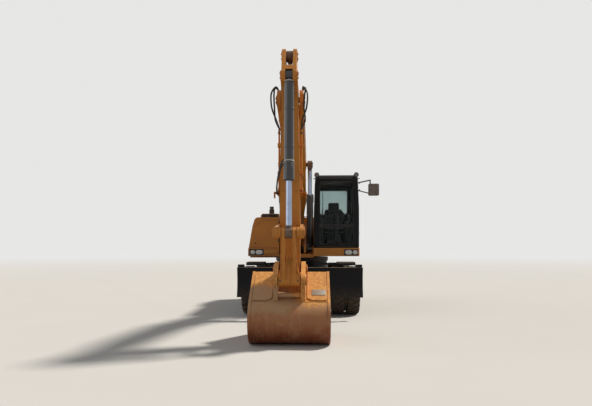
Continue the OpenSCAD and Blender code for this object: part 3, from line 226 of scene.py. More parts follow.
def curve_through(points, steps):
    """Points of a smooth curve through the given points, or of a straight line through two."""
    p = [Vector(v) for v in points]
    if len(p) < 3:
        return p
    p = [2 * p[0] - p[1]] + p + [2 * p[-1] - p[-2]]
    route = []
    for a, b, c, d in zip(p, p[1:], p[2:], p[3:]):
        for k in range(steps):
            t = k / steps
            route.append(0.5 * ((2 * b) + (c - a) * t + (2 * a - 5 * b + 4 * c - d) * t * t
                                + (3 * b - a - 3 * c + d) * t ** 3))
    route.append(p[-2])
    return route


def inset(outline, d):
    """A closed outline moved inwards by d."""
    pts = [Vector((a, b)) for a, b in outline]
    area = sum(p.x * q.y - q.x * p.y for p, q in zip(pts, pts[1:] + pts[:1]))
    turn = 1 if area > 0 else -1
    out = []
    for i, p in enumerate(pts):
        a = (p - pts[i - 1]).normalized()
        b = (pts[(i + 1) % len(pts)] - p).normalized()
        na, nb = Vector((-a.y, a.x)) * turn, Vector((-b.y, b.x)) * turn
        m = na + nb
        m = m.normalized() if m.length > 1e-6 else na
        out.append(p + m * d / max(0.4, m.dot(na)))
    return [(v.x, v.y) for v in out]


def rounded(rows, steps=5):
    """A closed outline from rows of (a, b, corner radius)."""
    out = []
    for i, (x, y, r) in enumerate(rows):
        p = Vector((x, y))
        a = (Vector(rows[i - 1][:2]) - p).normalized()
        b = (Vector(rows[(i + 1) % len(rows)][:2]) - p).normalized()
        half = math.acos(max(-1, min(1, a.dot(b)))) / 2
        c = p + (a + b).normalized() * r / math.sin(half)
        s, e = p + a * r / math.tan(half) - c, p + b * r / math.tan(half) - c
        start = math.atan2(s.y, s.x)
        sweep = math.atan2(s.x * e.y - s.y * e.x, s.dot(e))
        out += [(c.x + r * math.cos(start + sweep * k / steps),
                 c.y + r * math.sin(start + sweep * k / steps)) for k in range(steps + 1)]
    return out


# Materials

class Finish:
    """A node material under construction."""

    def __init__(self, name, **sockets):
        self.mat = bpy.data.materials.new(name)
        self.mat.use_nodes = True
        self.tree = self.mat.node_tree
        self.tree.nodes.clear()
        self.made = {}
        self.shader = self.node("BsdfPrincipled", **sockets)
        self.link(self.shader.outputs[0], self.node("OutputMaterial").inputs[0])
        self.place = self.node("TexCoord").outputs["Object"]

    def node(self, kind, **inputs):
        """A new node; its inputs take numbers, colours or the outputs of other nodes."""
        node = self.tree.nodes.new("ShaderNode" + kind)
        for key, value in inputs.items():
            self.put(node.inputs[key.replace("_", " ")], value)
        return node

    def link(self, a, b):
        self.tree.links.new(a, b)

    def put(self, socket, value):
        if isinstance(value, bpy.types.NodeSocket):
            self.link(value, socket)
        elif hasattr(value, "__len__") and len(value) == 3 and len(socket.default_value) == 4:
            socket.default_value = (*value, 1.0)
        else:
            socket.default_value = value

    def stretched(self, scale):
        """The place on the object, stretched along its axes where told."""
        if not scale:
            return self.place
        return self.node("Mapping", Scale=scale, Vector=self.place).outputs[0]

    def noise(self, scale, detail=3.0, rough=0.55, stretch=None):
        return self.node("TexNoise", Scale=scale, Detail=detail, Roughness=rough,
                         Vector=self.stretched(stretch)).outputs["Fac"]

    def cells(self, scale, feature="F1", stretch=None):
        node = self.node("TexVoronoi", Scale=scale, Vector=self.stretched(stretch))
        node.feature = feature
        return node.outputs["Distance"]

    def pattern(self, *numbers):
        """Cells from one number or a noise from more, made once and then shared."""
        if numbers not in self.made:
            self.made[numbers] = (self.cells if len(numbers) == 1 else self.noise)(*numbers)
        return self.made[numbers]

    def step(self, value, lo, hi, to_lo=0.0, to_hi=1.0):
        """A smooth step of value between lo and hi."""
        node = self.node("MapRange", Value=value, From_Min=lo, From_Max=hi, To_Min=to_lo,
                         To_Max=to_hi)
        node.interpolation_type = "SMOOTHSTEP"
        return node.outputs["Result"]

    def sum(self, kind, a, b, clamp=False):
        node = self.node("Math")
        node.operation, node.use_clamp = kind, clamp
        self.put(node.inputs[0], a)
        self.put(node.inputs[1], b)
        return node.outputs[0]

    def mix(self, share, a, b):
        node = self.node("Mix")
        node.data_type = "RGBA"
        for i, value in ((0, share), (6, a), (7, b)):
            self.put(node.inputs[i], value)
        return node.outputs[2]

    def gauge(self, kind, *vectors):
        """A number from vectors: their dot product, distance or length."""
        node = self.node("VectorMath")
        node.operation = kind
        for socket, value in zip(node.inputs, vectors):
            self.put(socket, value)
        return node.outputs["Value"]

    def axis(self, name, vector=None):
        """One part of a vector, by default of the place on the object."""
        return self.node("SeparateXYZ", Vector=vector or self.place).outputs[name]

    def normal(self):
        return self.node("NewGeometry").outputs["Normal"]

    def soft_normal(self, radius):
        """The normal as it would be if the edges had this radius."""
        node = self.node("Bevel", Radius=radius)
        node.samples = 4
        return node.outputs[0]

    def facing_up(self):
        return self.step(self.axis("Z", self.normal()), 0.3, 0.95)

    def edge(self, radius):
        """About 1 on edges and 0 on flats."""
        return self.step(self.gauge("DOT_PRODUCT", self.soft_normal(radius), self.normal()),
                         0.98, 0.80)

    def bump(self, height, distance, strength=1.0, soft_edge=0.0):
        node = self.node("Bump", Distance=distance, Strength=strength, Height=height)
        if soft_edge:
            self.link(self.soft_normal(soft_edge), node.inputs["Normal"])
        self.link(node.outputs[0], self.shader.inputs["Normal"])

    def colour(self, value):
        self.put(self.shader.inputs["Base Color"], value)

    def rough(self, value):
        self.put(self.shader.inputs["Roughness"], value)


def times(colour, k):
    return tuple(min(1.0, c * k) for c in colour)


def paint(name, colour, gloss=0.38, dusty=0.35, low=None, worn=0.4,
          primer=(0.10, 0.075, 0.06), coat=0.08, glare=0.35):
    """Sprayed paint with faint mottling, dust on ledges, thin scratches and rubbed edges."""
    v = looks()
    colour = tuple(getattr(v, colour) if isinstance(colour, str) else colour)
    f = Finish(name, Coat_Weight=coat, Coat_Roughness=0.15, Specular_IOR_Level=glare)
    mottle = f.step(f.noise(1.7, 4), 0.3, 0.7)
    base = f.mix(mottle, times(colour, 0.88), times(colour, 1.1))
    streaks = f.step(f.noise(7, 5, 0.6, (1, 1, 0.3)), 0.50, 0.80, 0, 0.22)
    base = f.mix(streaks, base, times(colour, 0.62))
    grain = f.noise(38, 6, 0.65)
    dirt = f.sum("MULTIPLY", f.facing_up(), f.step(grain, 0.30, 0.62, 0.25, 1.0))
    if low is not None:
        # Dirt thrown up from below, from full at the first height to none at the second
        depth = f.step(f.axis("Z"), low[1], low[0])
        dirt = f.sum("MAXIMUM", dirt, f.sum("MULTIPLY", depth, f.step(grain, 0.28, 0.66)))
    dirt = f.sum("MULTIPLY", dirt, dusty)
    base = f.mix(dirt, base, tuple(v.dust))
    scratch = f.step(f.cells(26, "DISTANCE_TO_EDGE", (1, 0.18, 0.6)), 0.012, 0.0, 0, 0.35)
    scratch = f.sum("MULTIPLY", scratch, f.step(f.noise(3.1, 2), 0.55, 0.72))
    rub = f.sum("MULTIPLY", f.edge(0.007), f.step(f.noise(14, 4), 0.42, 0.62))
    rub = f.sum("MULTIPLY", rub, worn * 2 * v.wear)
    f.colour(f.mix(f.sum("MAXIMUM", scratch, rub, True), base, primer))
    f.rough(f.step(f.sum("ADD", dirt, f.sum("MULTIPLY", grain, 0.3)), 0.0, 0.9, gloss, 0.85))
    f.bump(f.noise(55, 3), 0.0006, 0.35, 0.006)
    return f.mat


def plain(name, sockets, pattern, span, first, second, rough=None, bump=None):
    """Two colours mixed by a pattern, with an uneven gloss and a fine relief."""
    f = Finish(name, **sockets)
    f.colour(f.mix(f.step(f.pattern(*pattern), *span), first, second))
    if rough:
        f.rough(f.step(f.pattern(*rough[0]), *rough[1:]))
    if bump:
        f.bump(f.pattern(*bump[0]), *bump[1:])
    return f.mat


def bucket_wear():
    """Earth-worn steel: red-brown low down, sand above it, and paint left on the upper side, which
    reaches lower and lighter on the right as a painted sunlit patch.
    """
    v = looks()
    f = Finish("Worn bucket", Specular_IOR_Level=0.45)
    grain = f.noise(30, 8, 0.7)
    height = f.sum("ADD", f.axis("Z"), f.step(f.noise(3.2, 6, 0.65), 0.2, 0.8, -0.09, 0.09))
    left = f.step(f.axis("Y"), -0.16, -0.42)
    brown = f.mix(f.step(height, 0.10, 0.46), (0.23, 0.052, 0.014), (0.40, 0.160, 0.062))
    scrape = f.step(f.noise(16, 5, 0.6, (0.10, 1.0, 0.10)), 0.42, 0.70, 0, 0.28)
    brown = f.mix(scrape, brown, (0.50, 0.26, 0.115))
    patch = f.step(f.noise(4.5, 7, 0.7), 0.50, 0.64, 0, 0.3)
    brown = f.mix(patch, brown, (0.56, 0.31, 0.17))
    dark = f.step(f.noise(9, 5, 0.65, (0.4, 1.0, 0.4)), 0.56, 0.72, 0, 0.3)
    brown = f.mix(dark, brown, times(v.rust, 0.5))
    sand = f.sum("MULTIPLY", f.step(height, 0.46, 0.60),
                 f.sum("ADD", f.sum("MULTIPLY", left, 0.45), 0.5))
    brown = f.mix(sand, brown, (0.47, 0.275, 0.140))
    # Paint left on the upper side, partly painted sunlight: on the right it reaches lower, and the
    # lighter of its two oranges stands in for sunlight
    kept_paint_and_sunlit = f.step(f.sum("SUBTRACT", height, f.sum("MULTIPLY", left, 0.24)), 0.57, 0.66)
    kept_paint_and_sunlit = f.sum("MULTIPLY", kept_paint_and_sunlit, f.step(grain, 0.66, 0.56))
    coat = f.mix(f.step(f.noise(22, 5), 0.35, 0.75), (0.58, 0.24, 0.05), (0.80, 0.42, 0.11))
    colour = f.mix(kept_paint_and_sunlit, brown, coat)
    f.colour(f.mix(f.step(grain, 0.62, 0.76, 0, 0.3), colour, times(v.rust, 0.6)))
    f.rough(f.step(grain, 0.2, 0.8, 0.36, 0.7))
    f.bump(grain, 0.0012, 0.35, 0.006)
    return f.mat


def chrome(pin=None, reach=0.125):
    """Hard chrome; with a pin's name, the eye within reach of that pin is in worn paint."""
    f = Finish("Rod chrome" if pin is None else f"Rod chrome {pin}")
    # The chrome's blue tint is a painted reflection of the sky
    sky_tinted_shine = f.mix(f.step(f.noise(6, 5), 0.4, 0.7), (0.33, 0.39, 0.52), (0.26, 0.30, 0.38))
    if pin is None:
        f.shader.inputs["Metallic"].default_value = 1.0
        f.colour(sky_tinted_shine)
        f.rough(f.step(f.noise(70, 3), 0.3, 0.7, 0.07, 0.16))
    else:
        x, z = PINS[pin]
        gap = f.gauge("DISTANCE", f.stretched((1, 0, 1)), ((x - MID_X) / 1000, 0, z / 1000))
        rod = f.step(gap, reach - 0.006, reach)
        worn = f.mix(f.step(f.noise(30, 6, 0.7), 0.35, 0.65), (0.10, 0.055, 0.035),
                     (0.24, 0.16, 0.11))
        f.colour(f.mix(rod, worn, sky_tinted_shine))
        f.link(rod, f.shader.inputs["Metallic"])
        f.rough(f.sum("SUBTRACT", 0.65, f.sum("MULTIPLY", rod, 0.54)))
    f.bump(f.noise(160, 2), 0.0001, 0.2)
    return f.mat


def tyre_rubber():
    f = Finish("Tyre rubber", Specular_IOR_Level=0.3)
    grain = f.noise(45, 7, 0.68)
    dirt = f.sum("MULTIPLY", f.step(f.noise(7, 5, 0.6), 0.3, 0.62), f.step(grain, 0.3, 0.6))
    f.colour(f.mix(f.sum("ADD", f.sum("MULTIPLY", dirt, 0.6), 0.28), (0.017, 0.0155, 0.015),
                   times(looks().dust, 0.75)))
    f.rough(f.step(dirt, 0, 1, 0.6, 0.95))
    f.bump(grain, 0.002, 0.5)
    return f.mat


def seat_fabric():
    f = Finish("Woven fabric", Sheen_Weight=0.1, Roughness=0.9)
    weave = f.sum("MULTIPLY", f.cells(420), f.step(f.noise(260, 2), 0.2, 0.8, 0.6, 1.0))
    # The cloth's colours are darkened below its own as painted shade inside the cab
    f.colour(f.mix(f.step(weave, 0.1, 0.7), (0.010, 0.010, 0.011), (0.034, 0.034, 0.037)))
    f.bump(weave, 0.0012, 0.6)
    return f.mat


# Values of paint(); a colour may be the name of one that the user may change
PAINTS = {
    "body": dict(name="Body paint", colour="paint", low=(1.2, 1.6)),
    "arm": dict(name="Arm paint", colour="paint", gloss=0.42, worn=0.6),
    "frame": dict(name="Frame paint", colour="frame_paint", gloss=0.5, dusty=0.5, low=(0.1, 0.9),
                  primer=(0.12, 0.10, 0.085), coat=0.04, glare=0.2),
    "blade": dict(name="Blade paint", colour="frame_paint", gloss=0.55, worn=0.9, low=(0.3, 0.75),
                  primer=(0.16, 0.12, 0.10), coat=0.02, glare=0.15),
    "cab": dict(name="Cab paint", colour="frame_paint", gloss=0.4, dusty=0.12, worn=0.1, coat=0,
                glare=0.15),
    "barrel": dict(name="Cylinder paint", colour=(0.030, 0.027, 0.031), gloss=0.16, dusty=0.25,
                   worn=0.3, coat=0.5),
}

# Values of plain(): name, sockets, pattern, its span, two colours, then the patterns and values of
# the roughness and the relief
PLAIN = {
    "steel": ("Worn steel", dict(Metallic=0.6), (40, 7, 0.7), (0.35, 0.65),
              (0.09, 0.055, 0.04), (0.30, 0.25, 0.21),
              ((40, 7, 0.7), 0.3, 0.7, 0.35, 0.7), ((40, 7, 0.7), 0.0015, 0.5, 0.004)),
    "glass": ("Cab glass", dict(Roughness=0.02, IOR=1.17, Transmission_Weight=1.0), (3, 3),
              (0.3, 0.7), (0.56, 0.66, 0.65), (0.62, 0.71, 0.70), None, ((3, 2), 0.0003, 0.1)),
    "plastic": ("Black plastic", {}, (6, 4), (0.3, 0.7), (0.014, 0.014, 0.015),
                (0.032, 0.031, 0.030), ((20, 3), 0.3, 0.7, 0.42, 0.62),
                ((340,), 0.0004, 0.4, 0.004)),
    "cast": ("Cast metal", dict(Metallic=0.3), (90, 6, 0.7), (0.3, 0.7),
             (0.03, 0.027, 0.025), (0.11, 0.10, 0.09),
             ((90, 6, 0.7), 0.3, 0.7, 0.45, 0.75), ((90, 6, 0.7), 0.0012, 0.5, 0.004)),
    "lens": ("Lamp lens", dict(Roughness=0.12, Coat_Weight=0.6, Coat_Roughness=0.03), (75,),
             (0.1, 0.6), (0.42, 0.42, 0.40), (0.78, 0.79, 0.77), None, ((75,), 0.0015, 0.6)),
    "red_lens": ("Tail lamp lens", dict(Roughness=0.15, Coat_Weight=0.6, Coat_Roughness=0.04),
                 (90,), (0.1, 0.6), (0.20, 0.008, 0.006), (0.42, 0.02, 0.012), None,
                 ((90,), 0.0012, 0.5)),
    "dark_lens": ("Dark lamp lens", dict(Roughness=0.1, Coat_Weight=0.5, Coat_Roughness=0.03),
                  (60,), (0.1, 0.5), (0.05, 0.045, 0.045), (0.16, 0.15, 0.15), None,
                  ((60,), 0.0015, 0.6)),
    "mirror": ("Mirror glass", dict(Metallic=1.0), (3, 2), (0.3, 0.7), (0.75, 0.78, 0.80),
               (0.82, 0.84, 0.86), ((40, 2), 0.3, 0.7, 0.03, 0.07)),
    "screen": ("Display glass", dict(Roughness=0.08), (8, 2), (0.3, 0.7), (0.010, 0.012, 0.014),
               (0.02, 0.024, 0.028)),
    "hose": ("Hose rubber", {}, (18, 4), (0.4, 0.7), (0.012, 0.012, 0.012), (0.06, 0.052, 0.045),
             ((50, 3), 0.3, 0.7, 0.45, 0.7), ((240, 2, 0.5), 0.0006, 0.4)),
    "pale": ("Pale band", {}, (30, 4), (0.35, 0.7), (0.62, 0.60, 0.56), (0.36, 0.33, 0.30),
             ((30, 3), 0.3, 0.7, 0.4, 0.6)),
    "shell": ("Dusty shell", {}, (9, 5), (0.35, 0.7), (0.20, 0.155, 0.13), (0.11, 0.09, 0.08),
              ((30, 3), 0.3, 0.7, 0.45, 0.65), ((90, 3), 0.0004, 0.3)),
    "blank": ("Blank plate", dict(Specular_IOR_Level=0.3, Roughness=0.5), (2.5, 2), (0.3, 0.7),
              (0.42, 0.37, 0.31), (0.35, 0.30, 0.25)),
    "mesh": ("Screen cloth", dict(Metallic=0.4), (70,), (0.25, 0.45), (0.05, 0.048, 0.045),
             (0.006, 0.006, 0.006), ((30, 3), 0.3, 0.7, 0.5, 0.7), ((70,), 0.0015, 0.6)),
}

SPECIAL = {
    "bucket": bucket_wear, "chrome": chrome, "tyre": tyre_rubber, "seat": seat_fabric,
    "lift_rod": lambda: chrome("lift"), "stick_rod": lambda: chrome("tail"),
    "bucket_rod": lambda: chrome("link", 0.112),
}

MATERIALS = {}


def finish(name):
    """The finish with this name, made at its first use."""
    if name not in MATERIALS:
        MATERIALS[name] = (paint(**PAINTS[name]) if name in PAINTS else
                           plain(*PLAIN[name]) if name in PLAIN else SPECIAL[name]())
    return MATERIALS[name]


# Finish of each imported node, by the beginning of its name; the first that fits counts
NODE_FINISH = {
    "front_fenders": "frame", "boom_pipes": "arm", "stick_pipes": "arm", "arm_hoses": "hose",
    "chassis_frame": "frame", "swing_ring": "cast", "front_axle": "frame", "rear_axle": "frame",
    "knuckle": "frame", "rims": "frame", "tyres": "tyre", "tool_boxes": "frame",
    "blade_arms": "blade", "blade_links": "blade", "dozer_blade": "blade",
    "blade_barrels": "barrel", "blade_rods": "chrome", "upper_frame": "body",
    "counterweight": "body", "engine_housing": "body", "engine_hood": "body",
    "engine_block": "cast", "exhaust_stack": "cast", "service_door": "body",
    "right_body": "body", "cab_platform": "body", "work_lamps": "plastic", "cab_shell": "cab",
    "cab_door": "cab", "cab_glass": "glass", "door_glass": "glass", "seat": "seat",
    "console": "plastic", "cab_mirror": "plastic", "boom": "arm", "lift_barrels": "barrel",
    "lift_rods": "lift_rod", "stick_barrel": "barrel", "stick_rod": "stick_rod", "stick": "arm",
    "bucket_barrel": "barrel", "bucket_rod": "bucket_rod", "idler_links": "arm",
    "power_link": "arm", "bucket_teeth": "steel", "bucket": "bucket",
}


# Places on the machine

def place(x, y, z):
    """A point from the swing centre in millimetres as a point of the scene."""
    return ((x - MID_X) / 1000, (y - MID_Y) / 1000, z / 1000)


def at(pin, y=0.0):
    """A pin of the arm as a point, its y measured from the arm's plane."""
    x, z = PINS[pin]
    return Vector((x, ARM_Y + y, z))


def lean(p, q):
    """Direction from p to q in side view, and the one a right angle below it."""
    along = (Vector(q) - Vector(p)).normalized()
    return along, Vector((along.z, 0, -along.x))


def hubs():
    """Each hub as (the end of its names, x of its axle, side of the machine)."""
    for end, x in (("front", FRONT_AXLE), ("rear", REAR_AXLE)):
        for name, side in (("left", 1), ("right", -1)):
            yield f"{end}_{name}", x, side


def wrap(y, a, out):
    """A point over the bucket's round back at an angle in degrees."""
    a = math.radians(a)
    return (WRAP_X + (WRAP_R + out) * math.cos(a), ARM_Y + y,
            WRAP_Z + (WRAP_R + out) * math.sin(a))


def tail(y):
    """Outward direction of the counterweight's round back at a width y."""
    a = math.asin(y / TAIL_R)
    return Vector((-math.cos(a), math.sin(a), 0))


def pin_cap(shape, p, side, r, deep=9, bolts=3):
    """A cover disc with bolts on the end of a pin; side is 1 or -1 along Y."""
    p, axis = Vector(p), Vector((0, side, 0))
    shape.bar(p, p + axis * deep, r, sides=28, chamfer=3)
    for a in around(bolts, 0.25):
        q = p + axis * deep + Vector((math.cos(a), 0, math.sin(a))) * r * 0.62
        shape.bolt(q, axis, max(6, r * 0.15), 7)


def bead(shape, points, r=5):
    """A weld bead along a smooth curve, or straight between two points."""
    route = curve_through(points, 4)
    for p, q in zip(route, route[1:]):
        shape.bar(p, q, r, sides=6)


# Operators

class ScenePiece:
    bl_options = {"REGISTER"}

    def execute(self, context):
        self.make()
        return {"FINISHED"}


class EXCAVATOR_OT_stage(ScenePiece, bpy.types.Operator):
    """Plain floor, soft studio light and the camera in front of the machine"""
    bl_idname = "excavator.stage"
    bl_label = "Stage"

    def make(self):
        v = looks()
        scene = bpy.context.scene
        scene.view_settings.view_transform = "Standard"
        mesh = bpy.data.meshes.new("studio_floor")
        mesh.from_pydata([(a * FLOOR_HALF, b * FLOOR_HALF, 0)
                          for a, b in ((-1, -1), (1, -1), (1, 1), (-1, 1))], [], [(0, 1, 2, 3)])
        floor = bpy.data.objects.new("studio_floor", mesh)
        scene.collection.objects.link(floor)
        f = Finish("Floor", Specular_IOR_Level=0.0)
        # Its colour goes over into the backdrop's with the distance, so no horizon shows
        near = f.mix(f.step(f.noise(0.4, 2), 0.3, 0.7), times(v.floor, 0.985), tuple(v.floor))
        far = tuple(c * k for c, k in zip(v.floor, (1.07, 1.129, 1.24)))
        pale = f.mix(f.step(f.gauge("LENGTH", f.place), *FADE), near, far)
        f.colour(f.mix(self.seen_rays(f.tree), times(v.floor, 0.5), pale))
        f.rough(0.8)
        mesh.materials.append(f.mat)
        self.light(v)
        self.camera(scene)

    def seen_rays(self, tree):
        """1 for camera, glossy and transmission rays, which see the pale studio."""
        path = tree.nodes.new("ShaderNodeLightPath")
        ray = path.outputs["Is Camera Ray"]
        for name in ("Is Glossy Ray", "Is Transmission Ray"):
            either = tree.nodes.new("ShaderNodeMath")
            either.operation = "MAXIMUM"
            tree.links.new(ray, either.inputs[0])
            tree.links.new(path.outputs[name], either.inputs[1])
            ray = either.outputs[0]
        return ray

    def light(self, v):
        world = bpy.data.worlds.new("Studio")
        bpy.context.scene.world = world
        world.use_nodes = True
        tree = world.node_tree
        tree.nodes.clear()
        out = tree.nodes.new("ShaderNodeOutputWorld")
        seen, lit = (tree.nodes.new("ShaderNodeBackground") for _ in range(2))
        seen.inputs[0].default_value = (0.80, 0.80, 0.79, 1)
        lit.inputs[0].default_value = (0.93, 0.97, 1.0, 1)
        lit.inputs[1].default_value = v.sky
        mix = tree.nodes.new("ShaderNodeMixShader")
        tree.links.new(self.seen_rays(tree), mix.inputs[0])
        tree.links.new(lit.outputs[0], mix.inputs[1])
        tree.links.new(seen.outputs[0], mix.inputs[2])
        tree.links.new(mix.outputs[0], out.inputs[0])
        # Rows of (name, strength, colour, direction the light comes from, angle)
        for name, strength, colour, way, angle in (
                ("Key light", v.sun, (1.0, 0.94, 0.85), (-0.28, 0.68, 1.0), 7),
                ("Fill light", 0.60, (1.0, 0.98, 0.95), (0.22, -0.95, 0.45), 60)):
            data = bpy.data.lights.new(name, "SUN")
            data.energy, data.color, data.angle = strength, colour, math.radians(angle)
            light = bpy.data.objects.new(name, data)
            light.rotation_euler = Vector(way).to_track_quat("Z", "Y").to_euler()
            bpy.context.scene.collection.objects.link(light)

    def camera(self, scene):
        data = bpy.data.cameras.new("Camera")
        data.sensor_width = SENSOR
        data.lens = FOCAL / PHOTO_W * SENSOR
        data.shift_y = SHIFT / PHOTO_W
        data.clip_end = 300
        camera = bpy.data.objects.new("Camera", data)
        camera.location = place(*CAMERA_AT)
        camera.rotation_euler = (math.radians(90), 0, math.radians(90 + CAMERA_TURN))
        scene.collection.objects.link(camera)
        scene.camera = camera


class EXCAVATOR_OT_finishes(ScenePiece, bpy.types.Operator):
    """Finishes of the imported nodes"""
    bl_idname = "excavator.finishes"
    bl_label = "Finishes"

    def make(self):
        for name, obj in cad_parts.items():
            found = [f for start, f in NODE_FINISH.items() if name.startswith(start)]
            if not found:
                raise RuntimeError(f"no finish for {name}")
            obj.data.materials.clear()
            obj.data.materials.append(finish(found[0]))
            shade(obj.data, 30)


class EXCAVATOR_OT_tyres(ScenePiece, bpy.types.Operator):
    """Twin tyres with chevron lugs, on all four hubs"""
    bl_idname = "excavator.tyres"
    bl_label = "Tyres"

    # Half section of the carcass: (share of the half width, radius)
    CARCASS = [(0.66, 258), (0.74, 261), (0.79, 284), (0.86, 308), (0.90, 310), (0.905, 318),
               (0.90, 326), (0.96, 352), (0.985, 380), (0.99, 408), (0.975, 436), (0.94, 440),
               (0.93, 446), (0.93, 462), (0.87, 480), (0.74, 490), (0.40, 494)]
    # Stations along a lug: (share of the half width, top, base, share of its sweep, half breadth)
    LUG = [(0.03, 519.4, 488, 0.0, 19), (0.34, 519.6, 488, 0.36, 21), (0.68, 517.5, 484, 0.74, 25),
           (0.86, 508, 474, 0.92, 27), (0.955, 488, 456, 1.02, 27), (0.985, 452, 446, 1.08, 24)]

    def make(self):
        for hub, x, side in hubs():
            shape = Shape()
            for k in (0.5, 1.5):
                self.tyre(shape, x, side * (HUB_IN + k * TYRE_W + (k > 1) * TWIN_GAP), side)
            ring = Shape()
            ring.turned((x, side * (HUB_IN + TYRE_W + TWIN_GAP / 2), TYRE_R), (0, 1, 0),
                        [(-33, 392), (-33, 444), (-22, 458), (22, 458), (33, 444), (33, 392),
                         (-33, 392)], sides=72)
            ring.piece(f"twin_ring_{hub}", f"wheels_{hub}", "tyre", 40)
            shape.piece(f"tread_{hub}", f"wheels_{hub}", "tyre", 40, (f"tyres_{hub}",))

    def tyre(self, shape, x, y, side):
        half = TYRE_W / 2
        rows = [(-share * half, r) for share, r in self.CARCASS]
        rows += [(share * half, r) for share, r in reversed(self.CARCASS)]
        rows.append(rows[0])
        shape.turned((x, y, TYRE_R), (0, 1, 0), rows, sides=96)
        count = looks().lugs
        sweep = math.tau / count * 0.62
        for hand in (1, -1):
            for i in range(count):
                start = math.tau * (i + (0.5 if hand > 0 else 0)) / count + math.pi / 2
                rings = []
                for share, top, base, turn, wide in self.LUG:
                    a = start + side * sweep * turn
                    ring = []
                    for r, w in ((base, -wide * 1.15), (top, -wide * 0.85), (top, wide * 0.85),
                                 (base, wide * 1.15)):
                        ring.append((x + r * math.cos(a) - w * math.sin(a), y + hand * share * half,
                                     TYRE_R + (r * math.sin(a) + w * math.cos(a))
                                     * (1 if r < 500 else 0.9995)))
                    rings.append(ring)
                shape.skin(rings)


class EXCAVATOR_OT_wheels(ScenePiece, bpy.types.Operator):
    """Wheel nuts, hub bolts, valves and rim rings"""
    bl_idname = "excavator.wheels"
    bl_label = "Wheels"

    def make(self):
        for hub, x, side in hubs():
            shape = Shape()
            out = Vector((0, side, 0))

            def spot(depth, r, a):
                return Vector((x + r * math.cos(a), side * (HUB_IN + depth),
                               TYRE_R + r * math.sin(a)))
            for a in around(10):
                shape.bar(spot(169, 170, a), spot(174, 170, a), 17, sides=18, chamfer=1)
                shape.bar(spot(174, 170, a), spot(196, 170, a), 13, sides=6, chamfer=2)
                shape.bar(spot(196, 170, a), spot(206, 170, a), 7, sides=12)
            for a in around(12, 0.5):
                shape.bolt(spot(560, 92, a), out, 7, 7)
            centre = (x, side * HUB_IN, TYRE_R)
            shape.turned(centre, out, [(552, 34), (566, 34), (570, 30), (570, 16), (576, 14),
                                       (576, 1)], 24)
            shape.turned(centre, out, [(500, 151), (506, 156), (520, 156), (526, 151)], 48)
            # Rolled edge of the outer rim
            shape.turned(centre, out, [(568, 224), (581, 228), (588, 240), (585, 254), (577, 257),
                                       (574, 246), (566, 236)], 72)
            shape.hose([spot(330, 212, 0.7), spot(430, 208, 0.7), spot(545, 218, 0.7)], 4, 8)
            shape.piece(f"wheel_trim_{hub}", f"wheels_{hub}", "cast")


class EXCAVATOR_OT_undercarriage(ScenePiece, bpy.types.Operator):
    """Tool box lids, step treads, axle covers, ring bolts and brake lines"""
    bl_idname = "excavator.undercarriage"
    bl_label = "Undercarriage"

    def make(self):
        shape = Shape()
        for s in (-1, 1):
            y = s * 1040
            # Lid of each tool box with its latches and hinges
            for x0, x1 in ((-690, -340), (-300, 280)):
                shape.slab((x0, y - 4 * s, 520), (x1, y + 5 * s, 750), 3)
                for x in (x0 + 60, x1 - 90):
                    shape.slab((x, y + 4 * s, 690), (x + 34, y + 14 * s, 716), 3)
                    shape.bar((x, y + 8 * s, 522), (x + 50, y + 8 * s, 522), 8, 12)
            # Raised bars of the step treads
            for z in (500, 790):
                for i in range(15):
                    x = -296 + i * 41
                    shape.slab((x, y + 14 * s, z - 1), (x + 14, y + 146 * s, z + 5), 2, 1)
            for x in (-320, 280):
                for z in (540, 830):
                    shape.bolt((x + 10 - 13, y + 80 * s, z), (-1, 0, 0), 8, 6)
        self.axles(shape)
        shape.piece("chassis_trim", "chassis", "frame")
        self.lines()
        self.ring()

    def axles(self, shape):
        for x, way in ((FRONT_AXLE, 1), (REAR_AXLE, -1)):
            p = Vector((x + way * 168, 0, TYRE_R))
            shape.bar(p, p + Vector((way * 34, 0, 0)), 112, 32, 6)
            shape.bar(p, p + Vector((way * 44, 0, 0)), 42, 24, 4)
            for a in around(10):
                shape.bolt(p + Vector((way * 34, 94 * math.cos(a), 94 * math.sin(a))),
                           (way, 0, 0), 8, 7)
            for s in (-1, 1):
                shape.turned((x, s * 300, TYRE_R), (0, s, 0),
                             [(0, 100), (6, 104), (24, 104), (30, 100)], 36)

    def lines(self):
        shape = Shape()
        for s in (-1, 1):
            for k in (0, 1):
                z = 735 + k * 26
                shape.hose([(-1210, s * (250 + 30 * k), 660), (-1120, s * (336 + 8 * k), z),
                            (-700, s * (338 + 8 * k), z + 190), (0, s * (340 + 8 * k), z + 190),
                            (700, s * (338 + 8 * k), z + 190), (1010, s * (338 + 8 * k), z + 20),
                            (1110, s * (300 + 10 * k), 660)], 8, 8, 5)
        shape.piece("brake_lines", "chassis", "hose")

    def ring(self):
        shape = Shape()
        for a in around(40):
            way = Vector((math.cos(a), math.sin(a), 0))
            shape.bolt(way * 630 + Vector((0, 0, 1160)), way, 10, 8)
        shape.turned((0, 0, 1188), (0, 0, 1), [(0, 629), (0, 640), (14, 640), (14, 629)], 96)
        shape.piece("swing_ring_bolts", "chassis", "cast")


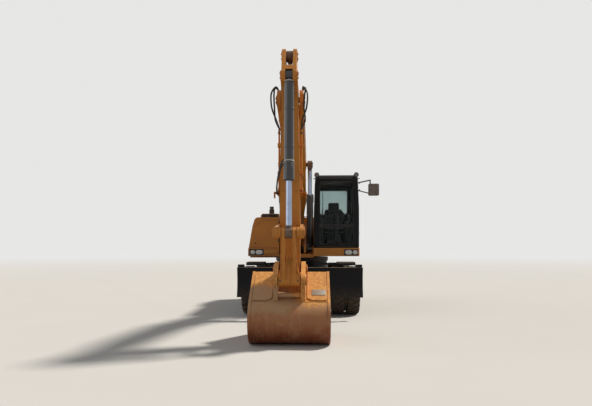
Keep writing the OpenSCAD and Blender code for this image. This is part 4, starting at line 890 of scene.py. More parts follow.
class EXCAVATOR_OT_blade(ScenePiece, bpy.types.Operator):
    """Worn lip, edge bolts, weld beads and pin covers of the dozer blade"""
    bl_idname = "excavator.blade"
    bl_label = "Dozer blade"

    def make(self):
        shape = Shape()
        for i in range(14):
            y = -1170 + i * 180
            shape.bolt((2290, y, 515), (1, 0, 0.25), 12, 8)
        for y in (-1167, 1167):
            for z in (1070, 1095):
                shape.bolt((2270, y - 30, z), (1, 0, 0), 8, 6)
                shape.bolt((2270, y + 30, z), (1, 0, 0), 8, 6)
        for s in (-1, 1):
            for pin in ((2140, 640), (2080, 870)):
                for w in (-1, 1):
                    pin_cap(shape, (pin[0], s * 230 + w * 73, pin[1]), w, 34, 7, 2)
        shape.piece("blade_trim", "dozer_blade", "blade")
        lip = Shape()
        lip.slab((2206, -1249, 1046), (2280, 1249, 1053), 3)
        for z, x in ((468, 2301), (560, 2268)):
            bead(lip, [(x - 6, -1236, z), (x - 6, 1236, z)], 3)
        lip.piece("blade_lip", "dozer_blade", "steel")
        beads = Shape()
        for y in (-900, -560, 0, 560, 900):
            for w in (-10, 10):
                bead(beads, [(2253, y + w, 500), (2207, y + w, 640), (2194, y + w, 770),
                             (2206, y + w, 900), (2240, y + w, 1030)], 5)
        beads.piece("blade_welds", "dozer_blade", "blade")


class EXCAVATOR_OT_bucket(ScenePiece, bpy.types.Operator):
    """Weld beads, blank plate, pin collars and wear bars of the bucket"""
    bl_idname = "excavator.bucket"
    bl_label = "Bucket"

    def make(self):
        beads = Shape()
        way, out = Vector((0.8, 0, -0.6)), Vector((0.6, 0, 0.8))
        back = Vector((WRAP_X + WRAP_R * 0.6, ARM_Y, WRAP_Z + WRAP_R * 0.8))
        for s in (-1, 1):
            # Border of the plate beside each ear, then round the ear's foot
            y0, y1 = s * 266, s * 548
            edge = [back + out * 12 + way * d + Vector((0, y, 0)) for d, y in (
                (-636, y0), (-110, y0), (-62, y0 + s * 20), (-34, y0 + s * 60), (-28, y0 + s * 90),
                (-28, y1))]
            bead(beads, edge, 7)
            for y in (170, 236):
                bead(beads, [back + out * 2 + way * d + Vector((0, s * y, 0))
                             for d in (-600, -60)], 6)
            # Seam between the wrapper and its side strip
            bead(beads, [wrap(s * 559, 53 - 9 * i, 3) for i in range(17)], 5)
        bead(beads, [back + out * 2 + Vector((0, y, 0)) for y in (-555, 555)], 5)
        beads.piece("bucket_welds", "bucket", "bucket")
        plate = Shape()
        mid = back + way * -190 + Vector((0, 430, 0))
        corners = [(-60, -105), (60, -105), (60, 105), (-60, 105)]
        rings = []
        for lift, shrink in ((11, 1.0), (17, 1.0), (19, 0.96)):
            rings.append([mid + out * lift + way * a * shrink + Vector((0, b * shrink, 0))
                          for a, b in corners])
        plate.skin(rings)
        for a, b in corners:
            plate.bar(mid + way * a * 0.8 + Vector((0, b * 0.88, 0)) + out * 18,
                      mid + way * a * 0.8 + Vector((0, b * 0.88, 0)) + out * 22, 5, 10, 1)
        plate.piece("bucket_blank_plate", "bucket", "blank")
        pins = Shape()
        for s in (-1, 1):
            pin_cap(pins, at("bucket", s * 236), s, 74, 22, 0)
            pins.bar(at("bucket", s * 258), at("bucket", s * 266), 42, 24, 3)
            pin_cap(pins, at("ear", s * 235), s, 66, 12, 4)
            # Bolts in the front edge of each ear
            a = at("ear", s * 202)
            for k in range(3):
                pins.bolt(a + Vector((104, 0, 6 - 46 * k)), (1, 0, 0), 10, 8)
        pins.piece("bucket_pin_caps", "bucket", "arm")
        wear = Shape()
        for y in (-300, 0, 300):
            for i in range(7):
                bead(wear, [wrap(y, -70 - 5 * (i + k), 2) for k in (0, 1)], 6)
        wear.piece("bucket_wear_bars", "bucket", "bucket")


class EXCAVATOR_OT_cylinders(ScenePiece, bpy.types.Operator):
    """Glands, seals, ports, pipes and bands of the arm's cylinders"""
    bl_idname = "excavator.cylinders"
    bl_label = "Cylinders"

    def make(self):
        self.cylinder("stick_barrel", "stick_cyl_foot", "tail", [0], 80, 1770, Vector((0, -1, 0)))
        self.cylinder("bucket_barrel", "bucket_cyl_foot", "link", [0], 70, 1535, None, 7)
        self.cylinder("lift_barrels", "lift_foot", "lift", [-LIFT_Y, LIFT_Y], 72, 1350, None)
        self.band()
        self.rods()

    def cylinder(self, body, foot, far, offsets, r, length, side, low=0):
        along, below = lean(at(foot), at(far))
        side = side or below
        barrel, steel, seal = Shape(), Shape(), Shape()
        for y in offsets:
            p = at(foot, y)

            def spot(d, out=0.0, turn=0.0):
                a = side * math.cos(turn) + along.cross(side) * math.sin(turn)
                return p + along * d + a * out
            for d in (length - 172, 118):
                barrel.turned(p, along, [(d, r), (d + 5, r + 8 - low), (d + 12, r + 8 - low),
                                         (d + 16, r)], 40)
            for a in around(8, 0.5):
                barrel.bolt(spot(length - 1, r - 7, a), along, 8, 8)
            barrel.turned(p, along, [(length - 2, 62), (length + 9, 60), (length + 11, 56),
                                     (length + 11, 46)], 36)
            seal.turned(p, along, [(length + 10, 50), (length + 14, 48), (length + 14, 43.6),
                                   (length + 10, 43.6)], 32)
            # Port blocks, and the pipe from the foot to the gland
            for d in (190, length - 90):
                base = r - low + (8 if d > 300 else 0)
                barrel.bar(spot(d, base - 6), spot(d, base + 14), 26, 20, 3)
            out = r - low
            run = [spot(190, out + 12), spot(205, out + 24), spot(250, out + 26),
                   spot(length * 0.6, out + 26), spot(length - 140, out + 28),
                   spot(length - 100, out + 26), spot(length - 90, out + 18)]
            steel.hose(run, 9, 10, 5)
            for d in (length * 0.32, length * 0.68):
                barrel.turned(p, along, [(d, r), (d, r + 4), (d + 26, r + 4), (d + 26, r)], 40)
                q = spot(d + 13, out + 26)
                barrel.bar(q - along * 13, q + along * 13, 14, 14, 2)
                barrel.bar(spot(d + 13, r - 4), spot(d + 13, out + 30), 7, 10)
        barrel.piece(f"{body}_gland", body, "barrel")
        steel.piece(f"{body}_pipe", body, "barrel")
        seal.piece(f"{body}_seal", body, "hose")

    def band(self):
        """Long gland sleeve of the bucket cylinder with its pale band."""
        along, _ = lean(at("bucket_cyl_foot"), at("link"))
        sleeve, pale = Shape(), Shape()
        foot = at("bucket_cyl_foot")
        sleeve.turned(foot, along, [(1262, 70.5), (1266, 76), (1368, 76), (1378, 79)], 48)
        for d in (1300, 1330):
            sleeve.turned(foot, along, [(d, 75), (d + 3, 79), (d + 9, 79), (d + 12, 75)], 48)
        sleeve.piece("bucket_barrel_sleeve", "bucket_barrel", "barrel")
        pale.turned(foot, along, [(1246, 70.5), (1248, 75), (1268, 75), (1270, 70.5)], 48)
        pale.turned(foot, along, [(86, 60), (86, 73), (104, 73), (104, 60)], 48)
        pale.piece("bucket_barrel_band", "bucket_barrel", "pale")

    def rods(self):
        for body, pin, foot, offsets in (
                ("stick_rod", "tail", "stick_cyl_foot", [0]),
                ("bucket_rod", "link", "bucket_cyl_foot", [0]),
                ("lift_rods", "lift", "lift_foot", [-LIFT_Y, LIFT_Y])):
            shape = Shape()
            along, _ = lean(at(pin), at(foot))
            for y in offsets:
                p = at(pin, y)
                # Neck between the eye and the rod, and the caps of the pin
                shape.turned(p, along, [(64, 50), (68, 54), (76, 54), (79, 50), (79, 43.2)], 32)
                if y:
                    s = 1 if y > 0 else -1
                    pin_cap(shape, p + Vector((0, s * 48, 0)), s, 56, 8, 3)
                q = p + along * 74
                shape.bar(q, q + along.cross(Vector((0, 1, 0))) * 58, 6, 8)
            shape.piece(f"{body}_neck", body, "cast")


class EXCAVATOR_OT_arm(ScenePiece, bpy.types.Operator):
    """Pin covers, weld beads, hoses, grease lines and links of the boom and stick"""
    bl_idname = "excavator.arm"
    bl_label = "Boom and stick"

    # Lines along the sides of the boom and the stick in side view, as (x, z)
    UPPER = [(560, 2440), (900, 2835), (1300, 3165), (1750, 3420), (2300, 3626), (2900, 3752),
             (3500, 3812), (4100, 3845)]
    UNDER = [(1250, 2385), (1750, 2745), (2300, 3035), (2900, 3262), (3500, 3420),
             (4060, 3525)]
    STICK_FRONT = [(4589, 2160), (4622, 2700), (4655, 3250), (4672, 3450)]
    STICK_BACK = [(4342, 1500), (4300, 2050), (4262, 2600), (4240, 3100), (4232, 3480)]

    def make(self):
        boom = Shape()
        for s in (-1, 1):
            for line in (self.UPPER, self.UNDER):
                bead(boom, [(x, ARM_Y + s * self.boom_half(x), z) for x, z in line], 5)
            pin_cap(boom, at("stick", s * 201), s, 96, 8, 0)
            pin_cap(boom, at("stick", s * 209), s, 70, 12, 4)
            pin_cap(boom, at("stick_cyl_foot", s * 94), s, 62, 8, 0)
            pin_cap(boom, at("stick_cyl_foot", s * 120), s, 50, 14, 3)
            pin_cap(boom, at("lift", s * 200), s, 104, 10, 6)
            # Grease block with three nipples near the nose
            x, y = 3640, ARM_Y + s * 200
            boom.slab((x, y - s, 3560), (x + 120, y + 16 * s, 3600), 3)
            for k in range(3):
                u = x + 24 + 36 * k
                boom.bar((u, y + 15 * s, 3580), (u, y + 30 * s, 3580), 6, 10)
        boom.piece("boom_trim", "boom", "arm")
        lines = Shape()
        for s in (-1, 1):
            y = ARM_Y + s * 209
            lines.hose([(3664, y + 14 * s, 3580), (3900, y + 6 * s, 3596), (4140, y + 3 * s, 3650),
                        (4310, y + 14 * s, 3696), (4372, y + 14 * s, 3712)], 4.5, 8, 5)
            lines.hose([(3700, y + 14 * s, 3580), (3500, y, 3590), (2900, y, 3500), (2400, y, 3392),
                        (2190, y + 4 * s, 3230)], 4.5, 8, 5)
        lines.piece("boom_grease_lines", "boom", "hose")
        self.stick()
        self.links()
        self.hoses()

    def boom_half(self, x):
        return 150 + 50 * max(0.0, min(1.0, (x - 850) / 400)) + 1

    def stick_half(self, z):
        return 150 - 25 * max(0.0, min(1.0, (z - 2400) / 900)) + 1

    def stick(self):
        shape = Shape()
        for s in (-1, 1):
            for line in (self.STICK_FRONT, self.STICK_BACK):
                bead(shape, [(x, ARM_Y + s * self.stick_half(z), z) for x, z in line], 5)
            pin_cap(shape, at("tail", s * 110), s, 78, 10, 4)
            pin_cap(shape, at("bucket_cyl_foot", s * 118), s, 66, 12, 3)
            pin_cap(shape, at("idler", s * 206), s, 62, 10, 3)
            # Keeper plate of the bucket cylinder's head pin, seen from the front
            p = at("bucket_cyl_foot", s * 92)
            shape.slab(p + Vector((68, -16, -46)), p + Vector((96, 16, 20)), 4)
        bead(shape, [(4600, ARM_Y - 138, 2300), (4600, ARM_Y + 138, 2300)], 5)
        shape.piece("stick_trim", "stick", "arm")
        lines = Shape()
        for s in (-1, 1):
            y = ARM_Y + s * 157
            lines.hose([(4470, y + 40 * s, 2540), (4440, y + 6 * s, 2400), (4370, y + 2 * s, 2100),
                        (4345, y + 4 * s, 1900), (4345, ARM_Y + s * 214, 1800),
                        (4392, ARM_Y + s * 214, 1722)], 4.5, 8, 5)
        lines.piece("stick_lines", "stick", "hose")
        # Hoses from the pipes' couplings to the barrel of the bucket cylinder
        shape = Shape()
        for k, x in enumerate(STICK_PIPE_X):
            shape.hose([(x, ARM_Y - STICK_PIPE_Y, 2330), (x, ARM_Y - STICK_PIPE_Y, 2296),
                        (x + 40, ARM_Y - 192, 2264),
                        (4590, ARM_Y - 200, 2310 - 30 * k), (4740, ARM_Y - 178, 2420 + 20 * k),
                        (4850, ARM_Y - 132, 2560 + 50 * k),
                        (4894 - 2 * k, ARM_Y - 96, 2640 + 60 * k),
                        (4900 - 3 * k, ARM_Y - 66, 2650 + 60 * k)], 12, 10, 6)
        hose = shape.piece("bucket_cylinder_hoses", None, "hose", 60)
        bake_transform(hose)

    def links(self):
        idler = Shape()
        for s in (-1, 1):
            pin_cap(idler, at("link", s * 216), s, 60, 14, 3)
            idler.bar(at("link", s * 214), at("link", s * 236), 22, 20, 4)
        idler.piece("idler_caps", "idler_links", "arm")
        link, holes = Shape(), Shape()
        a, b = at("link"), at("ear")
        down = (b - a).normalized()
        face = Vector((-down.z, 0, down.x))
        for s in (-1, 1):
            y = Vector((0, s * 102, 0))
            bead(link, [a + down * 300 + y + face * 48,
                        b - down * 90 + Vector((0, s * 130, 0)) + face * 60], 6)
            # Rib that leans from the middle to the end of the lower tube
            link.hose([a + down * 330 + Vector((0, s * 8, 0)) + face * 58,
                       b - down * 70 + Vector((0, s * 118, 0)) + face * 74], 9, 8)
            pin_cap(link, at("ear", s * 156), s, 60, 9, 0)
            holes.bar(b + Vector((66, s * 128, 8)), b + Vector((79, s * 128, 8)), 13, 14, 2)
        guard = b + Vector((74, 0, 4))
        link.slab(guard + Vector((0, -15, -42)), guard + Vector((20, 15, 34)), 5)
        holes.piece("power_link_plugs", "power_link", "plastic")
        link.piece("power_link_trim", "power_link", "arm")

    def hoses(self):
        """Hoses over the boom's nose, which bend between the boom and the stick."""
        shape, ends = Shape(), Shape()
        for s in (-1, 1):
            for i, y in enumerate(BOOM_PIPE_Y):
                k = 1 - i
                foot_x = STICK_PIPE_X[k]
                route = [(4154, y, 3895.5), (4162, y, 3896), (4187, y, 3897),
                         (4390, 232 + 36 * k, 3912 + 18 * k),
                         (4520 + 14 * k, 292 + 40 * k, 3770 + 12 * k),
                         (4560 + 16 * k, 282 + 40 * k, 3560),
                         (4500 + 36 * k, 226 + 34 * k, 3390),
                         (foot_x, STICK_PIPE_Y, 3275), (foot_x, STICK_PIPE_Y, 3241)]
                # The hoses on the cab's side hang closer to the boom
                near = 72 if s > 0 else 46
                shape.hose([(x, ARM_Y + s * (w - near * (w > 255)), z) for x, w, z in route],
                           13, 12, 7)
        hose = shape.piece("boom_nose_hoses", None, "hose", 60, ("arm_hoses",))
        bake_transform(hose)
        for s in (-1, 1):
            for x in STICK_PIPE_X:
                y = ARM_Y + s * STICK_PIPE_Y
                for z, r in ((3190, 19), (2300, 25)):
                    ends.bar((x, y, z), (x, y, z + 26), r, 6, 2)
        ends.piece("stick_pipe_nuts", "stick", "cast")


class EXCAVATOR_OT_cab(ScenePiece, bpy.types.Operator):
    """Gaskets, handles, wiper, lamp lenses, mirror glass and the rear grid of the cab"""
    bl_idname = "excavator.cab"
    bl_label = "Cab"

    def make(self):
        seal = Shape()
        for z0, z1, w0, w1 in ((1510, 1900, 120, 122), (1940, 2910, 122, 125)):
            r0, r1 = 40 if z0 < 1600 else 12, 12 if z1 < 2000 else 40
            rows = [(CAB_Y0 + w0, z0, r0), (CAB_Y1 - w0, z0, r0),
                    (CAB_Y1 - w1, z1, r1), (CAB_Y0 + w1, z1, r1)]
            self.gasket(seal, [(self.front(z) - 9, y, z) for y, z in self.edge(rows, 4)])
        rows = [(CAB_Y0 + 130, 2280, 90), (CAB_Y1 - 130, 2280, 90), (CAB_Y1 - 130, 2890, 60),
                (CAB_Y0 + 130, 2890, 60)]
        self.gasket(seal, [(self.back(z) + 9, y, z) for y, z in self.edge(rows, 4)])
        rows = [(-330, 2200, 60), (1090, 1900, 60), (1060, 2910, 60), (-330, 2910, 60)]
        self.gasket(seal, [(x, CAB_Y0 + 24, z) for x, z in self.edge(rows, 5)])
        rows = [(-360, 2250, 40), (-130, 2250, 40), (-130, 2910, 40), (-360, 2910, 40)]
        self.gasket(seal, [(x, CAB_Y1 - 26, z) for x, z in self.edge(rows, 5)])
        seal.piece("cab_gaskets", "upper", "hose")
        self.front_details()
        self.lamps()
        self.door()
        self.mirror()

    def front(self, z):
        return CAB_X if z < 2250 else CAB_X - 70 * (z - 2250) / 810

    def back(self, z):
        return CAB_BACK + 20 * (z - 1440) / 1620

    def edge(self, rows, d):
        """A rounded outline moved inwards by d, with no side longer than about 200 mm."""
        outline = inset(rounded(rows), d)
        out = []
        for p, q in zip(outline, outline[1:] + outline[:1]):
            steps = max(1, int(math.dist(p, q) / 200))
            out += [(p[0] + (q[0] - p[0]) * k / steps, p[1] + (q[1] - p[1]) * k / steps)
                    for k in range(steps)]
        return out

    def gasket(self, shape, points, r=7):
        """A round seal along a closed run of points."""
        pts = [Vector(p) for p in points]
        mid = sum(pts, Vector()) / len(pts)
        normal = (pts[0] - mid).cross(pts[len(pts) // 4] - mid).normalized()
        rings = []
        for i, p in enumerate(pts):
            along = (pts[(i + 1) % len(pts)] - pts[i - 1]).normalized()
            side = along.cross(normal).normalized()
            rings.append(circle(p, side, normal, r, 8))
        shape.skin(rings + rings[:1], caps=False)

    def front_details(self):
        shape = Shape()
        # Wiper: motor cover, arm and blade
        x = self.front(1960)
        shape.slab((x - 4, CAB_Y0 + 96, 1905), (x + 26, CAB_Y0 + 196, 1935), 6)
        shape.hose([(x + 18, CAB_Y0 + 150, 1925), (x + 20, CAB_Y0 + 172, 2150),
                    (self.front(2400) + 12, CAB_Y0 + 190, 2400)], 6, 8)
        shape.hose([(x + 2, CAB_Y0 + 186, 2080), (self.front(2400) + 2, CAB_Y0 + 192, 2400),
                    (self.front(2700) + 2, CAB_Y0 + 186, 2700)], 7, 6)
        # Grab handles inside the lower pane, and the bar of the split
        for y in (CAB_Y0 + 200, CAB_Y1 - 200):
            shape.hose([(x - 60, y, 1840), (x - 96, y, 1860), (x - 96, y, 2010),
                        (x - 60, y, 2030)], 9, 8)
        shape.slab((x - 2, CAB_Y0 + 118, 1912), (x + 5, CAB_Y1 - 118, 1928), 2)
        shape.slab((x - 4, CAB_Y0 + 70, 1456), (x + 6, CAB_Y1 - 70, 1472), 3)
        # Drip rail round the roof's front
        shape.hose([(CAB_X - 66, CAB_Y0 + 12, 2960), (CAB_X - 58, CAB_Y0 + 60, 2972),
                    (CAB_X - 58, CAB_Y1 - 60, 2972), (CAB_X - 66, CAB_Y1 - 12, 2960)], 7, 8)
        # Bolts of the bracket plates under the roof lamps
        for y in (CAB_Y0 + 60, CAB_Y1 - 60):
            for k in (-1, 1):
                shape.bolt((CAB_X - 60, y + 15 * k, 3010), (1, 0, 0), 6, 5)
        shape.piece("cab_front_trim", "upper", "plastic")
        # Lattice behind the rear window, its bars at 45 degrees both ways
        grid = Shape()
        y0, y1, z0, z1 = CAB_Y0 + 145, CAB_Y1 - 145, 2300, 2880
        for way in (1, -1):
            for i in range(-8, 19):
                ends = []
                for z in (z0, z1):
                    y = y0 + i * 70 + way * (z - (z0 if way > 0 else z1))
                    z += (max(0, y0 - y) - max(0, y - y1)) * way
                    ends.append((min(max(y, y0), y1), z))
                (ya, za), (yb, zb) = ends
                if z0 <= min(za, zb) and max(za, zb) <= z1 and abs(za - zb) > 30:
                    x = CAB_BACK + (46 if way > 0 else 52)
                    grid.bar((x, ya, za), (x, yb, zb), 3.2, 5)
        grid.hose([(CAB_BACK + 49, a, b) for a, b in (
            (y0, z0), (y1, z0), (y1, z1), (y0, z1), (y0, z0))], 5, 6, 1)
        grid.piece("cab_rear_grid", "upper", "cast")

    def lamps(self):
        lens, rim = Shape(), Shape()
        for x, y0, hand in ((1281.4, 947, 1), (1241.4, -822, -1)):
            for a, b, r in ((72, 122, 55), (234, 246, 50)):
                rings = []
                for lift, shrink in ((0, 0), (2.5, 3), (4.5, 14)):
                    ring = []
                    for t in around(36):
                        mid = a if math.cos(t) < 0 else b
                        ring.append((x + lift, y0 + hand * (mid + (r - 4 - shrink) * math.cos(t)),
                                     LAMP_Z + (r - 4 - shrink) * math.sin(t)))
                    rings.append(ring)
                lens.skin(rings)
                run = [(x - 1, y0 + hand * ((a if math.cos(t) < 0 else b) + (r + 1) * math.cos(t)),
                        LAMP_Z + (r + 1) * math.sin(t)) for t in around(36)]
                self.gasket(rim, run, 4)
        roof = Shape()
        for y in (CAB_Y0 + 60, CAB_Y1 - 60):
            centre = (CAB_X - 10, y, ROOF_LAMP_Z)
            roof.turned(centre, (1, 0, 0), [(0, 43), (3, 42), (6, 30), (7, 12), (7, 1)], 32)
            rim.turned(centre, (1, 0, 0), [(-14, 50.5), (-14, 53), (5, 53), (6, 49), (5, 44),
                                           (0, 44)], 32)
            # Cooling ribs on the lamp's back
            for k in range(5):
                rim.turned((CAB_X - 80 + 12 * k, y, ROOF_LAMP_Z), (1, 0, 0),
                           [(0, 50), (0, 54), (4, 54), (4, 50)], 32)
        lens.piece("lamp_lenses", "upper", "lens")
        roof.piece("roof_lamp_lenses", "upper", "dark_lens")
        rim.piece("lamp_rims", "upper", "plastic")

    def door(self):
        shape = Shape()
        y = CAB_Y1
        shape.slab((960, y - 3, 1730), (1080, y + 4, 1800), 6)
        shape.hose([(975, y + 2, 1765), (985, y + 26, 1765), (1055, y + 26, 1765),
                    (1068, y + 2, 1765)], 8, 10)
        shape.turned((1040, y + 3, 1700), (0, 1, 0), [(0, 15), (6, 14), (7, 9), (7, 1)], 20)
        for z in (1580, 2705):
            for k in range(2):
                shape.bolt((26, y - 2, z + 50 + 40 * k), (0, 1, 0), 8, 5)
        # Kick strip under the door's glass
        shape.slab((20, y - 4, 1512), (1040, y + 5, 1545), 4)
        rows = [(30, 1800, 60), (1030, 1620, 80), (1020, 2850, 60), (30, 2850, 60)]
        self.gasket(shape, [(x, y - 29, z) for x, z in self.edge(rows, 5)])
        shape.piece("cab_door_trim", "cab_door", "plastic")

    def mirror(self):
        glass, shape = Shape(), Shape()
        rows = [(1485, 2590, 25), (1715, 2590, 25), (1715, 2850, 25), (1485, 2850, 25)]
        outline = rounded(rows)
        glass.skin([[(1150 - d, y, z) for y, z in inset(outline, s)]
                    for d, s in ((0, 16), (3, 16), (4, 20))])
        glass.piece("mirror_glass", "upper", "mirror")
        self.gasket(shape, [(1150, y, z) for y, z in inset(outline, 12)], 5)
        shell = Shape()
        shell.skin([[(1220 + d, y, z) for y, z in inset(outline, s)]
                    for d, s in ((-2, 5), (5, 9), (9, 16), (10, 22))])
        shell.piece("mirror_shell", "upper", "shell")
        for z in (2640, 2800):
            shape.slab((1188, 1506, z), (1228, 1534, z + 36), 5)
        for z in (2866, 2708):
            shape.bar((1210, 1276, z), (1210, 1292, z - 3), 26, 20, 3)
        shape.piece("mirror_trim", "upper", "plastic")


class EXCAVATOR_OT_seat(ScenePiece, bpy.types.Operator):
    """Seat cushions, and the wheel, knobs and display that stand by them"""
    bl_idname = "excavator.seat"
    bl_label = "Seat and controls"

    def make(self):
        x, y, z = CAB_BACK + 520, (CAB_Y0 + CAB_Y1) / 2, CAB_Z + 60
        # Rows of (name, rows of the side section (x, z), half width, pull-in at the ends)
        for name, section, half in (
                ("seat_cushion", [(-190, 306), (60, 304), (310, 308), (330, 350), (322, 402),
                                  (250, 434), (60, 420), (-120, 404), (-196, 384)], 246),
                ("seat_back", [(-200, 396), (-84, 398), (-74, 470), (-112, 700), (-150, 880),
                               (-200, 902), (-262, 890), (-284, 640), (-286, 440)], 236),
                ("seat_headrest", [(-184, 862), (-170, 960), (-168, 1040), (-210, 1064),
                                   (-256, 1052), (-264, 960), (-262, 862)], 136)):
            shape = Shape()
            rings = []
            for k in range(-8, 9):
                t = k / 8
                pull = 1 - 0.10 * abs(t) ** 5 - (0.16 if abs(k) == 8 else 0)
                # Two sewn channels run front to back
                sewn = 1 - (0.035 if abs(k) == 4 else 0)
                cx = sum(p[0] for p in section) / len(section)
                cz = sum(p[1] for p in section) / len(section)
                rings.append([(x + cx + (a - cx) * pull * sewn, y + t * half,
                               z + cz + (b - cz) * pull * sewn) for a, b in section])
            shape.skin(rings)
            replaced = ("seat",) if name == "seat_cushion" else ()
            obj = shape.piece(name, "upper", "seat", 180, replaced)
            mod = obj.modifiers.new("Soft", "SUBSURF")
            mod.levels = mod.render_levels = 2
        base = Shape()
        base.slab((x - 176, y - 186, z + 2), (x + 256, y + 186, z + 120), 14)
        for k in range(6):
            base.slab((x - 150, y - 160, z + 122 + 28 * k), (x + 230, y + 160, z + 142 + 28 * k), 9)
        for s in (-1, 1):
            base.slab((x - 180, y + s * 200 - 8, z + 292), (x + 260, y + s * 200 + 8, z + 304), 3)
        base.piece("seat_suspension", "upper", "plastic")
        controls = Shape()
        for s in (-1, 1):
            top = Vector((x + 330, y + s * 330, z + 690))
            controls.turned(top, (0, 0, 1), [(-70, 19), (-50, 26), (-10, 30), (18, 30), (36, 24),
                                             (44, 10), (45, 1)], 24)
            controls.turned(top - Vector((0, 0, 150)), (0, 0, 1), [(0, 62), (14, 56), (28, 40),
                                                                  (42, 26), (56, 20)], 28)
            controls.slab((x - 210, y + s * 330 - 62, z + 556),
                          (x + 150, y + s * 330 + 62, z + 596), 18, 3)
        hub = Vector((x + 780, y, z + 690))
        back = math.radians(18)
        tilt = Vector((-math.sin(back), 0, math.cos(back)))
        controls.turned(hub, tilt, [(-26, 40), (-6, 58), (14, 56), (20, 40), (20, 1)], 32)
        for a in (math.radians(90), math.radians(-90), math.radians(0)):
            out = Vector((math.cos(a) * math.cos(back), math.sin(a), math.cos(a) * math.sin(back)))
            controls.bar(hub + out * 40, hub + out * 186, 11, 10)
        controls.slab((1040, CAB_Y0 + 80, 1960), (1066, CAB_Y0 + 250, 2110), 8)
        controls.hose([(1053, CAB_Y0 + 90, 1960), (1060, CAB_Y0 + 80, 1800),
                       (1120, CAB_Y0 + 78, 1640)], 12, 10)
        controls.piece("cab_controls", "upper", "plastic")
        screen = Shape()
        screen.slab((1034, CAB_Y0 + 92, 1974), (1041, CAB_Y0 + 238, 2096), 2)
        screen.piece("cab_display", "upper", "screen")


class EXCAVATOR_OT_right_body(ScenePiece, bpy.types.Operator):
    """Slatted window, tread studs, seams, latches and filler cap of the right-hand body"""
    bl_idname = "excavator.right_body"
    bl_label = "Right body"

    def make(self):
        dark = Shape()
        # Slatted window in the front of the raised part
        dark.slab((1118, -872, 2126), (1123, -512, 2188), 2)
        for k in range(5):
            z = 2134 + 11 * k
            dark.slab((1122, -866, z), (1128, -518, z + 5), 1.5, 1)
        dark.slab((600, -870, 2199), (1080, -520, 2205), 3)
        for i in range(11):
            for k in range(6):
                p = (636 + 41 * i, -846 + 58 * k, 2204)
                dark.bar(p, (p[0], p[1], 2209), 11, 10, 1.5)
        dark.piece("right_body_window", "upper", "plastic")
        seams = Shape()
        x = 1150.6
        seams.hose([(x, -1149, 1452), (x, -800, 1452), (x, -486, 1452)], 2.2, 6, 2)
        seams.hose([(x, -1050, 1900), (x, -940, 2000), (x, -820, 2056)], 2.2, 6, 3)
        seams.bar((x, -820, 2056), (x, -486, 2056), 2.2, 6)
        for x0 in (240, 700):
            seams.hose([(x0, -1081, 1930), (x0, -1120, 1700), (x0, -1162, 1452)], 2.4, 6, 3)
        seams.hose([(-420, -1164, 1448), (300, -1164, 1448), (1120, -1164, 1448)], 2.4, 6, 2)
        seams.piece("right_body_seams", "upper", "plastic")
        shape = Shape()
        shape.slab((1148, -1034, 1528), (1158, -998, 1558), 4)
        shape.turned((1158, -1016, 1543), (1, 0, 0), [(0, 10), (5, 9), (6, 5), (6, 1)], 16)
        for z in (1560, 1780):
            shape.slab((1149, -512, z), (1160, -496, z + 90), 4)
        for x1 in (470, 930):
            shape.slab((x1 - 60, -1152, 1612), (x1 + 40, -1138, 1652), 4)
        shape.piece("right_body_latches", "upper", "cast")
        cap = Shape()
        cap.turned((140, -800, 2119), (0, 0, 1), [(0, 78), (8, 78), (12, 70), (12, 56), (40, 54),
                                                  (46, 46), (46, 1)], 36)
        for a in around(12):
            x, y = 140 + 55 * math.cos(a), -800 + 55 * math.sin(a)
            cap.bar((x, y, 2134), (x, y, 2160), 5, 8)
        cap.piece("filler_cap", "upper", "plastic")
        rim = Shape()
        rim.hose([(1245, -1150, 1420), (1245, -900, 1422), (1245, -500, 1422)], 5, 8, 3)
        rim.slab((1246, -800, 1290), (1250, -500, 1400), 3)
        for y in (-780, -520):
            for z in (1304, 1386):
                rim.bolt((1250, y, z), (1, 0, 0), 7, 5)
        rim.piece("right_body_rim", "upper", "body")


